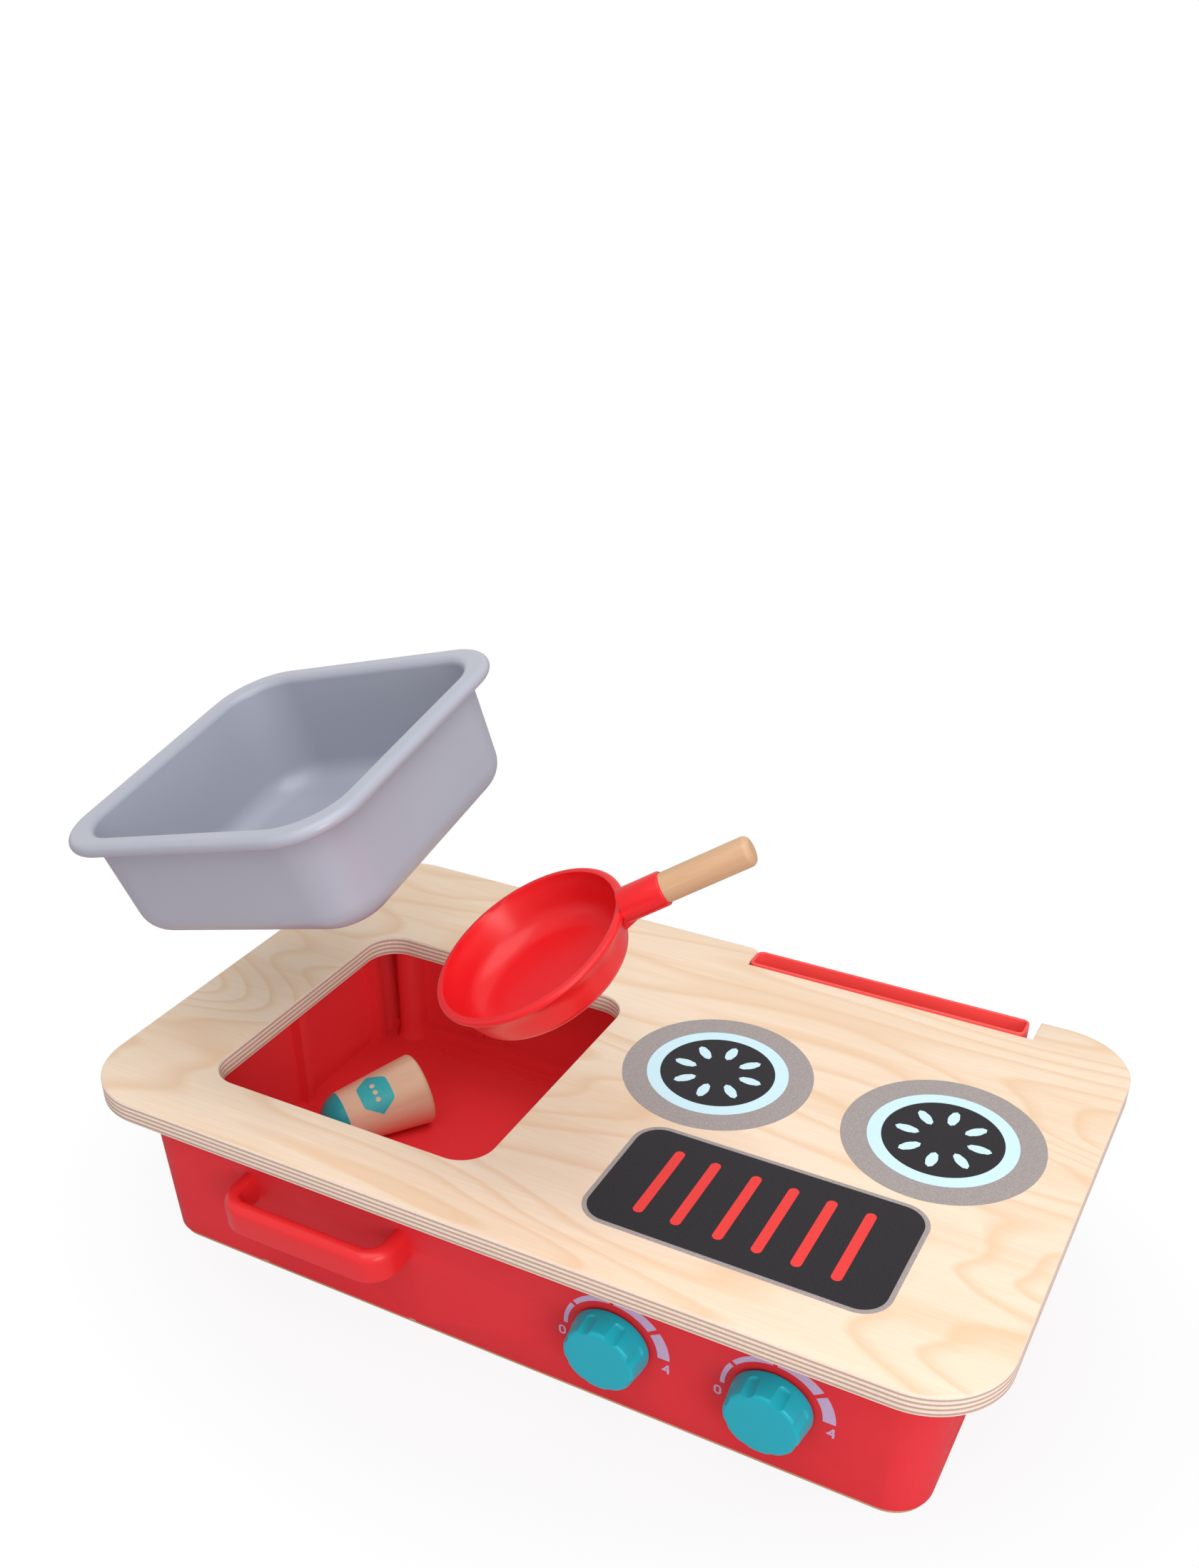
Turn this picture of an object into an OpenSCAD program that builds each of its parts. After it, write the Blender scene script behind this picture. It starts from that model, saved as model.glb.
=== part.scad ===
// Toy kitchen top: a plywood worktop on a moulded tub, with two knobs, a lift-out basin, a pan and a shaker.
// The origin is the centre of the base board's underside, +Z is up and the knobs face -Y.
// The basin and the pan are drawn as they are held above the top, and each turns down to its seat.

/* [Worktop] */
// Width of the worktop
top_w = 487; // [470:1:520]
// Depth of the worktop
top_d = 294; // [285:1:320]
// Thickness of the worktop
top_t = 12; // [10:0.5:18]
// Corner radius of the worktop
top_r = 40; // [20:1:50]
// Gap round the basin in the sink hole
sink_gap = 4.15; // [1.5:0.05:4.5]
// Corner radius of the sink hole
sink_r = 18; // [8:1:20]
// Sink hole's centre, left of the middle
sink_x = -102.75; // [-110:0.25:-96]
// Sink hole's centre, from the middle of the tub
sink_y = -15.3; // [-20:0.1:-8]

/* [Tub] */
// Width of the tub under the worktop
tub_w = 445.8; // [436:0.2:452]
// Depth of the tub under the worktop
tub_d = 236.4; // [230:0.2:250]
// Height of the tub
tub_h = 91.5; // [84:0.5:110]
// How far the worktop reaches past the front of the tub
front_lip = 20.6; // [12:0.2:26]
// Corner radius of the tub at its top
tub_r = 25; // [18:1:34]
// How far each wall leans in at the foot
tub_lean = 4.6; // [2:0.2:7]
// Wall of the tub
tub_wall = 2.5; // [2:0.1:3.5]
// Floor of the tub
tub_floor = 2.7; // [2:0.1:4]
// Height of the raised floor edge above the floor panel
floor_step = 1.2; // [0.6:0.1:2]
// Width of the raised floor edge at the left and right
floor_edge_x = 38; // [30:1:46]
// Width of the raised floor edge at the front and back
floor_edge_y = 18; // [14:1:24]
// Height of the ledge along the back wall
ledge_h = 10; // [6:0.5:14]
// Depth of the ledge along the back wall
ledge_d = 7; // [4:0.5:10]
// Radius of the screw columns
column_r = 8.5; // [8:0.1:10]
// Distance of the outer screw columns from the middle
column_x = 197.5; // [185:0.5:199]
// Bore of the columns, up to the screw heads
column_bore_r = 5; // [4.5:0.1:5.4]
// How far a column runs into the wall at its foot
column_sink = 2.2; // [1.5:0.1:3]
// Spread of a column's foot
column_foot = 3; // [1:0.5:4]
// Height of a column's foot
column_foot_h = 8; // [4:0.5:12]
// Rib width on the inside of the side walls
rib_w = 7; // [4:0.5:9]
// Rib reach at the foot of a wall
rib_reach = 5; // [3:0.5:7]
// Place of the front ribs on the side walls, behind the middle
rib_y_front = 13.7; // [4:0.1:24]
// Place of the back ribs on the side walls, behind the middle
rib_y_back = 90.7; // [80:0.1:92]
// Distance from the ribs' top to the tub's top
rib_drop = 6; // [3:0.5:12]
// Place of the back wall's rib, left of the middle
back_rib_x = -147.4; // [-160:0.2:-130]
// Width of the back wall's rib
back_rib_w = 5; // [3:0.5:8]
// Corner radius of the floor panel
floor_r = 8; // [4:0.5:14]
// Width of the two notches in the front wall's foot
foot_notch_w = 4; // [2:0.5:6]
// Height of the two notches in the front wall's foot
foot_notch_h = 1.6; // [1:0.1:2]

/* [Base board] */
// Thickness of the base board
base_t = 3; // [2.5:0.1:5]
// Inset of the base board's edge
base_inset = 1.5; // [0.5:0.1:4]
// Distance of the inner base screws from the middle, across
base_screw_x = 65; // [50:1:75]
// Distance of the inner base screws from the middle, front to back
base_screw_y = 98; // [85:1:98]
// Distance of the outer base screws from the middle, across
base_screw_far = 203; // [195:1:204]
// Distance of the outer base screws from the middle, forward
base_screw_front = 60; // [40:1:75]
// Radius of the bosses for the base screws
base_boss_r = 4.5; // [3.5:0.1:6]
// Height of the bosses above the tub's underside
base_boss_h = 12; // [9:0.5:16]

/* [Screws] */
// Shank radius of the wood screws
screw_r = 1.75; // [1.4:0.05:2.2]
// Head radius of the wood screws
screw_head_r = 3.8; // [3:0.1:4.2]
// Head height of the screws
screw_head_h = 2.2; // [1.6:0.1:3]
// Grip of the wood screws in the worktop
screw_grip = 8; // [6:0.5:8.5]
// Plastic under the head of a worktop screw
screw_seat = 9; // [6:0.5:14]
// Clearance round a shank
screw_gap = 0.15; // [0.1:0.05:0.3]
// Shank radius of the small screws
small_screw_r = 1.25; // [1:0.05:1.5]
// Head radius of the small screws
small_head_r = 3; // [2.4:0.1:3.4]
// Head height of the small screws
small_head_h = 1.8; // [1.2:0.1:2.2]
// Grip of a small screw in a handle leg
handle_screw_l = 10.5; // [8:0.5:14]
// Grip of a small screw in a knob's shaft
knob_screw_l = 8.5; // [6:0.5:10]

/* [Knobs] */
// Left knob's place, right of the middle
knob_left_x = 64; // [50:0.5:75]
// Right knob's place, right of the middle
knob_right_x = 145.5; // [136:0.5:160]
// Knob axis below the tub's top edge, along the wall
knob_drop = 47.8; // [42:0.2:52]
// Radius of a knob at the wall
knob_r = 20; // [17:0.1:21]
// Radius of a knob at its face
knob_face_r = 18.6; // [15.5:0.1:19]
// Length of a knob
knob_l = 14.6; // [12:0.1:20]
// Gap between a knob and the wall
knob_gap = 1; // [0.5:0.1:2]
// Number of finger hollows round a knob
knob_hollows = 8; // [6:1:12]
// Radius of a finger hollow
hollow_r = 6; // [4:0.1:8]
// Depth of a finger hollow at the knob's face
hollow_depth = 1.7; // [0.8:0.1:2]
// Plain height of the knob before the hollows start
hollow_start = 4; // [3:0.1:6]
// Rounding of a knob's edge
knob_edge_r = 2; // [1:0.1:3]
// Radius of the inside of a knob
knob_core_r = 13.5; // [11:0.1:14]
// Front wall of a knob
knob_front = 3; // [2:0.1:5]
// Radius of a knob's shaft
shaft_r = 4; // [3:0.1:5]
// Running clearance of a shaft
shaft_gap = 0.08; // [0.04:0.01:0.1]
// Collar radius at the foot of a shaft
collar_r = 7; // [6:0.1:9]
// Radius of a retaining washer
washer_r = 8; // [6.5:0.1:10]
// Thickness of a retaining washer
washer_t = 1.2; // [0.8:0.1:2]
// End play of a knob
end_play = 0.3; // [0.2:0.05:0.5]

/* [Dial marks] */
// Thickness of a print
ink_t = 0.1; // [0.05:0.05:0.2]
// Inner radius of the dial segments
dial_r = 23.8; // [22:0.1:26]
// Middle radius of the outer edge of the dial segments
dial_outer_r = 28; // [26.5:0.1:29]
// Shift of the outer edge, which makes the segments swell to the right
dial_swell = 2; // [0.5:0.1:2.4]
// Gap between dial segments, in degrees
dial_gap = 5; // [2:1:8]
// Height of a numeral
digit_h = 6; // [4:0.5:7]
// Stroke of a numeral
digit_stroke = 1; // [0.7:0.1:1.3]

/* [Front handle] */
// Middle of the handle, left of the middle
handle_x = -101; // [-110:0.05:-90]
// Middle of the handle below the tub's top edge, along the wall
handle_drop = 36.2; // [30:0.2:44]
// Length of the handle
handle_l = 103.7; // [90:0.1:116]
// Reach of the handle from the wall
handle_reach = 26; // [22:0.5:32]
// Height of the handle's bar
handle_h = 17.6; // [13:0.1:20]
// Thickness of the bar and the legs
handle_t = 8.5; // [7.5:0.1:10]
// Outer corner radius of the handle
handle_r = 16; // [9.5:0.5:18]

/* [Back tray] */
// Middle of the tray, right of the middle
tray_x = 103.1; // [90:0.1:110]
// Width of the tray
tray_w = 160.4; // [140:0.1:170]
// Depth of the tray, front to back
tray_d = 15.7; // [14:0.1:18]
// Height of the tray
tray_h = 60; // [40:1:80]
// Wall of the tray
tray_wall = 1.6; // [1.4:0.1:2.6]
// Corner radius of the tray
tray_r = 4; // [3:0.5:6]
// How far the rim stands above the worktop
tray_proud = 0.8; // [0.2:0.1:2]
// Gap to the left of the tray
tray_gap_left = 0.5; // [0.4:0.1:4]
// Gap to the right of the tray
tray_gap_right = 5.2; // [1:0.1:6]
// Depth of the notch in the back edge
notch_d = 18.4; // [16.5:0.1:22]
// Gap in front of the tray
tray_gap_front = 0.5; // [0.4:0.1:1.5]
// Rounding of the notch's left lip
notch_lip_r = 4.5; // [2:0.5:6]
// Width of a tray tab
tab_w = 26; // [18:1:40]
// Thickness of a tray tab
tab_t = 2.4; // [2:0.1:3.5]
// Length of a tray tab, in front of the tray
tab_l = 14; // [12:0.5:16]
// Distance of the tabs from the tray's middle
tab_x = 50; // [30:1:60]

/* [Hob prints] */
// Left hob centre, right of the middle
hob_left_x = 51.1; // [40:0.1:54]
// Right hob centre, right of the middle
hob_right_x = 171.9; // [165:0.1:180]
// Hob centres, behind the middle of the tub
hob_y = 28.8; // [26:0.1:40]
// Radius of the grey ring
hob_grey_r = 50; // [44:0.5:52]
// Radius of the blue ring
hob_blue_r = 37; // [33:0.5:42]
// Radius of the black centre
hob_black_r = 30; // [26:0.5:32]
// Number of petals on a hob
petals = 8; // [6:1:10]
// Petal's inner end from the hob's centre
petal_from = 12; // [10:0.5:14]
// Length of a petal
petal_l = 12.4; // [9:0.1:14]
// Width of a petal
petal_w = 5.6; // [3.5:0.1:6]
// Middle of the grill field, right of the middle
grill_x = 111.65; // [105:0.05:118]
// Middle of the grill field, in front of the tub's middle
grill_y = -66; // [-74:0.1:-66]
// Width of the grill field
grill_w = 150.7; // [130:0.1:155]
// Depth of the grill field
grill_d = 79.6; // [60:0.1:80]
// Corner radius of the grill field
grill_r = 15; // [8:0.5:20]
// Width of the grey outline
grill_line = 2.4; // [1:0.1:3]
// Number of bars
bars = 6; // [4:1:6]
// Pitch of the bars
bar_pitch = 19; // [14:0.1:20]
// Extra gap after the second bar
bar_skip = 2.1; // [0:0.1:3]
// Length of a bar
bar_l = 50.4; // [40:0.1:56]
// Width of a bar
bar_w = 5.2; // [3:0.1:8]

/* [Basin] */
// Outer side of the basin's rim
rim_side = 176.4; // [173:0.1:180]
// Corner radius of the basin's rim
rim_r = 32.6; // [30:0.1:40]
// Side of the basin's body under the rim
basin_side = 158.2; // [150:0.1:162]
// Depth of the basin below the worktop
basin_depth = 56; // [40:0.5:56.5]
// Corner radius of the basin's body under the rim
basin_r = 28.7; // [22:0.1:30]
// How far each basin wall leans in at the foot
basin_lean = 2.8; // [1:0.1:5]
// Height of the rolled rim
rim_h = 7; // [5.5:0.1:7.5]
// Rounding from the basin's inner wall to the top of its rim
rim_flare = 4; // [2:0.1:5]
// Bottom rounding of the basin
basin_fillet = 15; // [8:0.5:16]
// Wall of the basin
basin_wall = 2.2; // [1.8:0.1:3]

/* [Pan] */
// Radius of the pan at its lip
pan_r = 46.4; // [40:0.1:50]
// Height of the pan
pan_h = 22; // [20:0.5:32]
// How far the pan's wall leans in at the foot
pan_lean = 6.8; // [5:0.1:12]
// Bottom rounding of the pan
pan_fillet = 7; // [4:0.5:9]
// Wall of the pan
pan_wall = 2; // [1.6:0.1:2.6]
// Radius of the pan's lip
lip_r = 1.6; // [1.3:0.1:2]
// Handle's axis below the lip's top
sleeve_drop = 2.4; // [0:0.1:4]
// Radius of the handle's sleeve
sleeve_r = 7.6; // [7.2:0.1:9]
// Sleeve's end from the pan's centre
sleeve_end = 65; // [60:0.2:76]
// Radius of the wooden handle
dowel_r = 6.6; // [5.6:0.1:6.8]
// Handle's end from the pan's centre
dowel_end = 105; // [95:0.2:125]
// Rounding of the handle's end
dowel_round = 3; // [1:0.1:4]
// Thickness of the web under the sleeve
web_t = 4; // [3:0.1:6]
// How far the web runs out under the sleeve
web_l = 5; // [3:0.5:12]
// Height of the web's foot on the pan's wall
web_foot = 8.5; // [6:0.5:11]
// How far the sleeve runs into the pan's lip
sleeve_root = 0.9; // [0.6:0.1:1.4]
// Solid part of the sleeve between the pan and the wooden handle
socket_wall = 5; // [3:0.5:8]
// Fit gap round the wooden handle and its pin
fit_gap = 0.05; // [0.03:0.01:0.1]
// Radius of the pin through the sleeve
pin_r = 1; // [0.8:0.1:1.4]

/* [Shaker] */
// Base radius of the shaker
shaker_base_r = 21.9; // [18:0.1:21.9]
// Radius of the shaker under its dome
shaker_neck_r = 16.5; // [12:0.1:16.7]
// Radius of the shaker's dome
shaker_dome_r = 16.9; // [16.8:0.1:19]
// Length of the shaker below its dome
shaker_l = 51; // [40:0.5:53]
// Heading of the lying shaker, in degrees
shaker_turn = 236.6; // [225:0.1:245]
// Base of the shaker, left of the middle
shaker_x = -140.8; // [-142:0.1:-136]
// Base of the shaker, behind the middle
shaker_y = 35.4; // [30:0.1:36]

/* [Held pieces] */
// Gap under a piece that lies or sits on another
rest_gap = 0.3; // [0.2:0.05:0.5]
// How far the basin sits off the sink hole's middle in its play, to the right and back
basin_shift = 3.2; // [0:0.1:3.4]
// Turn of the basin from its seat to where it is held
basin_turn = 18.34; // [10:0.01:20]
// Distance of the basin's seat from the line that it turns about
basin_arm = 542.8; // [500:0.1:560]
// Turn of the pan from its seat to where it is held
pan_turn = 34.46; // [20:0.01:36]
// Distance of the pan's seat from the line that it turns about
pan_arm = 283.3; // [270:0.1:300]
// Heading of the pan's handle on its seat
pan_heading = 40.16; // [35:0.01:50]

/* [Hidden] */
$fn = 64;
eps = 0.01;
base_top = base_t;
tub_top = base_top + tub_h;
board_top = tub_top + top_t;
front_y = -tub_d / 2;
back_y = tub_d / 2;
board_front = front_y - front_lip;
board_back = board_front + top_d;
lean_a = atan(tub_lean / tub_h);
wall_n = tub_wall * cos(lean_a);
panel_z = base_top + tub_floor;
sink_side = basin_side + 2 * sink_gap;
column_y = back_y - tub_lean - column_r + column_sink;
column_top = tub_top - screw_seat;
handle_leg_x = (handle_l - handle_t) / 2;
shaft_end = wall_n + end_play;
tray_front = board_back - notch_d + tray_gap_front;
notch_left = tray_x - tray_w / 2 - tray_gap_left;
notch_right = tray_x + tray_w / 2 + tray_gap_right;
notch_front = tray_front - tray_gap_front;
tray_top = board_top + tray_proud;
basin_seat = [sink_x + basin_shift, sink_y + basin_shift, board_top + rest_gap];
pan_seat = [hob_left_x, hob_y, board_top + 4 * ink_t + rest_gap];
basin_axis = [0.523, -0.850, 0.063];
basin_pivot = basin_seat + basin_arm * [-0.8237, -0.5232, -0.2179];
pan_axis = [0.6486, -0.6075, -0.4586];
dial_splits = [35.5, 90, 143];
pan_pivot = pan_seat + pan_arm * [-0.7822, -0.5298, -0.3269];
sleeve_z = pan_h - sleeve_drop;
sleeve_from = pan_r - sleeve_root;
socket_from = pan_r + socket_wall;
shaker_lean = atan((shaker_base_r - shaker_neck_r) / shaker_l);
dome_z = shaker_l - sqrt(pow(shaker_dome_r, 2) - pow(shaker_neck_r, 2));
base_screws_at = [
    [-base_screw_x, -base_screw_y],
    [base_screw_x, -base_screw_y],
    [-base_screw_x, base_screw_y],
    [base_screw_x, base_screw_y],
    [-base_screw_far, -base_screw_front],
    [base_screw_far, -base_screw_front],
];
columns_at = [for (x = [-column_x, 0, column_x], s = [-1, 1]) [x, s * column_y]];

// A rectangle of w by d with corners of radius r, centred
module rounded_rect(w, d, r) {
    square([w - 2 * r, d], center = true);
    square([w, d - 2 * r], center = true);
    for (x = [-1, 1], y = [-1, 1])
        translate([x * (w / 2 - r), y * (d / 2 - r)])
            circle(r);
}

module upright_oval(w, h) {
    square([w, h - w], center = true);
    for (s = [-1, 1])
        translate([0, s * (h - w) / 2])
            circle(w / 2);
}

// The filled outline of a leaning wall from z = 0 down. Its rounded foot stands a hair proud
// of the wall, so that the two cross cleanly
module wall_section(s, lean, depth, r) {
    a = atan(lean / depth);
    cx = s - lean * (depth - r) / depth - r / cos(a) + eps / 2;
    cy = r - depth;
    joint = [cx - eps / 2 + r * cos(a), cy - r * sin(a)];
    polygon([[0, -depth], [cx, -depth], [cx, cy], joint, [s, 0], [0, 0]]);
    intersection() {
        translate([cx, cy])
            circle(r);
        translate([cx, cy - 2 * r])
            square(2 * r);
    }
}

// A block with rounded corners whose outline is the child, drawn from the corner's axis
module rounded_block(span_x, span_y, z_low, z_high) {
    translate([-span_x / 2, -span_y / 2, z_low])
        cube([span_x, span_y, z_high - z_low]);
    for (q = [0:3]) {
        even = q % 2 == 0;
        reach = (even ? span_x : span_y) / 2;
        run = even ? span_y : span_x;
        rotate([0, 0, 90 * q])
            translate([reach, 0, 0]) {
                translate([0, run / 2, 0])
                    rotate_extrude(angle = 90)
                        children();
                translate([0, run / 2, 0])
                    rotate([90, 0, 0])
                        linear_extrude(run)
                            children();
            }
    }
}

// Places a child on the front wall, with its z pointing out of the wall and its y up along it
module on_front(x, drop) {
    translate([x, front_y, tub_top])
        rotate([90 + lean_a, 0, 0])
            translate([0, -drop, 0])
                children();
}

// Turns a seated piece about a line to the place where it is held
module held(pivot, axis, turn) {
    translate(pivot)
        rotate(a = turn, v = axis)
            translate(-pivot)
                children();
}

module round_screw(head_r, head_h, shank_r, l) {
    difference() {
        union() {
            translate([0, 0, -head_h])
                cylinder(h = head_h, r = head_r);
            translate([0, 0, -eps])
                cylinder(h = l + eps, r = shank_r);
        }
        for (a = [0, 90])
            rotate([0, 0, a])
                translate([0, 0, -head_h])
                    cube([head_r * 1.1, head_r * 0.24, head_h], center = true);
    }
}

module flush_screw(head_r, shank_r, l) {
    sink = head_r - shank_r;
    difference() {
        union() {
            cylinder(h = sink, r1 = head_r, r2 = shank_r);
            cylinder(h = l, r = shank_r);
        }
        for (a = [0, 90])
            rotate([0, 0, a])
                cube([head_r * 1.1, head_r * 0.24, head_r * 0.5], center = true);
    }
}

module worktop() {
    mid_y = (board_front + board_back) / 2;
    color("#f3dfc4")
        difference() {
            translate([0, 0, tub_top])
                linear_extrude(top_t)
                    difference() {
                        translate([0, mid_y])
                            rounded_rect(top_w, top_d, top_r);
                        translate([sink_x, sink_y])
                            rounded_rect(sink_side, sink_side, sink_r);
                        translate([notch_left, notch_front])
                            square([notch_right - notch_left, top_d]);
                        translate([notch_left - notch_lip_r, board_back - notch_lip_r])
                            difference() {
                                square(2 * notch_lip_r);
                                circle(notch_lip_r);
                            }
                    }
            for (p = columns_at)
                translate([p[0], p[1], tub_top - eps])
                    cylinder(h = screw_grip + 0.5, r = screw_r);
            for (s = [-1, 1])
                translate([tray_x + s * tab_x, tray_front - tab_l / 2, tub_top - eps])
                    cylinder(h = screw_grip + 0.5, r = small_screw_r);
        }
}

module hob_spots() {
    for (x = [hob_left_x, hob_right_x])
        translate([x, hob_y])
            children();
}

module print_grey() {
    color("#958c88")
        translate([0, 0, board_top])
            linear_extrude(ink_t) {
                hob_spots()
                    circle(hob_grey_r);
                translate([grill_x, grill_y])
                    rounded_rect(grill_w, grill_d, grill_r);
            }
}

module petal() {
    half = petal_l / 2;
    bow = (half * half + petal_w * petal_w / 4) / petal_w;
    translate([petal_from + half, 0]) {
        intersection() {
            translate([0, bow - petal_w / 2])
                circle(bow);
            translate([0, petal_w / 2 - bow])
                circle(bow);
        }
        for (s = [-1, 1])
            translate([s * half * 0.56, 0])
                circle(petal_w * 0.38);
    }
}

module print_blue() {
    color("#c3e4ee") {
        translate([0, 0, board_top + ink_t])
            linear_extrude(ink_t)
                hob_spots()
                    circle(hob_blue_r);
        translate([0, 0, board_top + 3 * ink_t])
            linear_extrude(ink_t)
                hob_spots()
                    for (k = [0:petals - 1])
                        rotate(k * 360 / petals)
                            petal();
    }
}

module print_black() {
    color("#2b292b") {
        translate([0, 0, board_top + 2 * ink_t])
            linear_extrude(ink_t)
                hob_spots()
                    circle(hob_black_r);
        translate([grill_x, grill_y, board_top + ink_t])
            linear_extrude(ink_t)
                rounded_rect(grill_w - 2 * grill_line, grill_d - 2 * grill_line, grill_r - grill_line);
    }
}

module print_red() {
    run = (bars - 1) * bar_pitch + bar_skip;
    color("#e8433f")
        translate([grill_x - run / 2, grill_y, board_top + 2 * ink_t])
            linear_extrude(ink_t)
                for (k = [0:bars - 1])
                    translate([k * bar_pitch + (k > 1 ? bar_skip : 0), 0])
                        upright_oval(bar_w, bar_l);
}

// The outside of the tub, or its inside when inset by a wall
module tub_block(inset, z_low, z_high) {
    // the wall's lean carries on below the foot and above the top
    rise = z_high - z_low;
    low_r = tub_r - inset - tub_lean * (tub_top - z_low) / tub_h;
    high_r = tub_r - inset - tub_lean * (tub_top - z_high) / tub_h;
    translate([0, 0, z_low])
        rounded_block(tub_w - 2 * tub_r, tub_d - 2 * tub_r, 0, rise)
            polygon([[0, 0], [low_r, 0], [high_r, rise], [0, rise]]);
}

module tub_column(p) {
    side = sign(p[1]);
    translate([p[0], p[1], panel_z - eps]) {
        cylinder(h = tub_top - panel_z + eps, r = column_r);
        cylinder(h = column_foot_h, r1 = column_r + column_foot, r2 = column_r);
        translate([-column_r, side > 0 ? 0 : -column_r, 0])
            cube([2 * column_r, column_r, tub_top - panel_z + eps]);
    }
}

// A rib on the left wall, upright while the wall leans away from it
module side_rib(y) {
    foot = tub_w / 2 - tub_wall - tub_lean - rib_reach;
    translate([-foot - rib_reach - tub_lean, y - rib_w / 2, panel_z])
        cube([rib_reach + tub_lean, rib_w, tub_h - tub_floor - rib_drop]);
}

module tub() {
    color("#c8272e")
        difference() {
            union() {
                difference() {
                    tub_block(0, base_top, tub_top);
                    tub_block(tub_wall, panel_z + floor_step, tub_top + 1);
                    translate([0, 0, panel_z])
                        linear_extrude(floor_step + 1)
                            rounded_rect(
                                tub_w - 2 * (tub_lean + floor_edge_x),
                                tub_d - 2 * (tub_lean + floor_edge_y),
                                floor_r
                            );
                }
                intersection() {
                    tub_block(tub_wall / 2, base_top + 1, tub_top);
                    union() {
                        for (p = columns_at)
                            tub_column(p);
                        for (s = [0, 1], y = [rib_y_front, rib_y_back])
                            mirror([s, 0, 0])
                                side_rib(y);
                        translate([-tub_w / 2, back_y - tub_lean - tub_wall - ledge_d, panel_z])
                            cube([tub_w, ledge_d + 20, ledge_h]);
                        translate([back_rib_x - back_rib_w / 2, back_y - tub_wall - tub_lean - 1.5, panel_z])
                            cube([back_rib_w, 20, tub_h - tub_floor - rib_drop]);
                    }
                }
                for (p = base_screws_at)
                    translate([p[0], p[1], base_top + 1])
                        cylinder(h = base_boss_h - 1, r = base_boss_r);
            }
            for (p = columns_at) {
                translate([p[0], p[1], base_top - 1])
                    cylinder(h = column_top - base_top + 1, r = column_bore_r);
                translate([p[0], p[1], base_top])
                    cylinder(h = tub_h + 1, r = screw_r + screw_gap);
            }
            for (p = base_screws_at)
                translate([p[0], p[1], base_top - 1])
                    cylinder(h = base_boss_h - 1, r = small_screw_r);
            for (x = [knob_left_x, knob_right_x])
                on_front(x, knob_drop)
                    translate([0, 0, -4 * tub_wall])
                        cylinder(h = 6 * tub_wall, r = shaft_r + shaft_gap);
            for (s = [-1, 1])
                on_front(handle_x + s * handle_leg_x, handle_drop)
                    translate([0, 0, -4 * tub_wall])
                        cylinder(h = 6 * tub_wall, r = small_screw_r + screw_gap);
            for (s = [-1, 1])
                translate([handle_x + s * handle_leg_x, front_y + tub_lean, base_top])
                    cube([foot_notch_w, 1.6, 2 * foot_notch_h], center = true);
        }
}

module base_board() {
    w = tub_w - 2 * (tub_lean + base_inset);
    d = tub_d - 2 * (tub_lean + base_inset);
    sink = small_head_r - small_screw_r;
    color("#c9a98a")
        difference() {
            linear_extrude(base_t)
                rounded_rect(w, d, tub_r - tub_lean - base_inset);
            for (p = base_screws_at)
                translate([p[0], p[1], 0]) {
                    translate([0, 0, -1])
                        cylinder(h = base_t + 2, r = small_screw_r + screw_gap);
                    translate([0, 0, -eps])
                        cylinder(h = sink + 0.3, r1 = small_head_r + 0.3 + eps, r2 = small_screw_r);
                }
        }
}

module base_screws() {
    color("#8f9194")
        for (p = base_screws_at)
            translate([p[0], p[1], 0.2])
                flush_screw(small_head_r, small_screw_r, base_t + base_boss_h - 4);
}

module worktop_screws() {
    color("#8f9194")
        for (p = columns_at)
            translate([p[0], p[1], column_top])
                round_screw(screw_head_r, screw_head_h, screw_r, screw_seat + screw_grip);
}

// The handle's outline seen from above, or its gap when drawn smaller
module handle_outline(l, reach, r) {
    intersection() {
        rounded_rect(l, 2 * reach, r);
        translate([-l / 2, 0])
            square([l, reach]);
    }
}

module front_handle() {
    inner_r = handle_r - handle_t > 1 ? handle_r - handle_t : 1;
    color("#d8302f")
        on_front(handle_x, handle_drop)
            difference() {
                rotate([90, 0, 0])
                    linear_extrude(handle_h, center = true)
                        difference() {
                            handle_outline(handle_l, handle_reach, handle_r);
                            translate([0, -1])
                                handle_outline(handle_l - 2 * handle_t, handle_reach - handle_t + 1, inner_r);
                        }
                for (s = [-1, 1])
                    translate([s * handle_leg_x, 0, -1])
                        cylinder(h = handle_screw_l + 1.5, r = small_screw_r);
            }
}

module handle_screws() {
    color("#8f9194")
        for (s = [-1, 1])
            on_front(handle_x + s * handle_leg_x, handle_drop)
                translate([0, 0, -wall_n])
                    round_screw(small_head_r, small_head_h, small_screw_r, wall_n + handle_screw_l);
}

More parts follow.
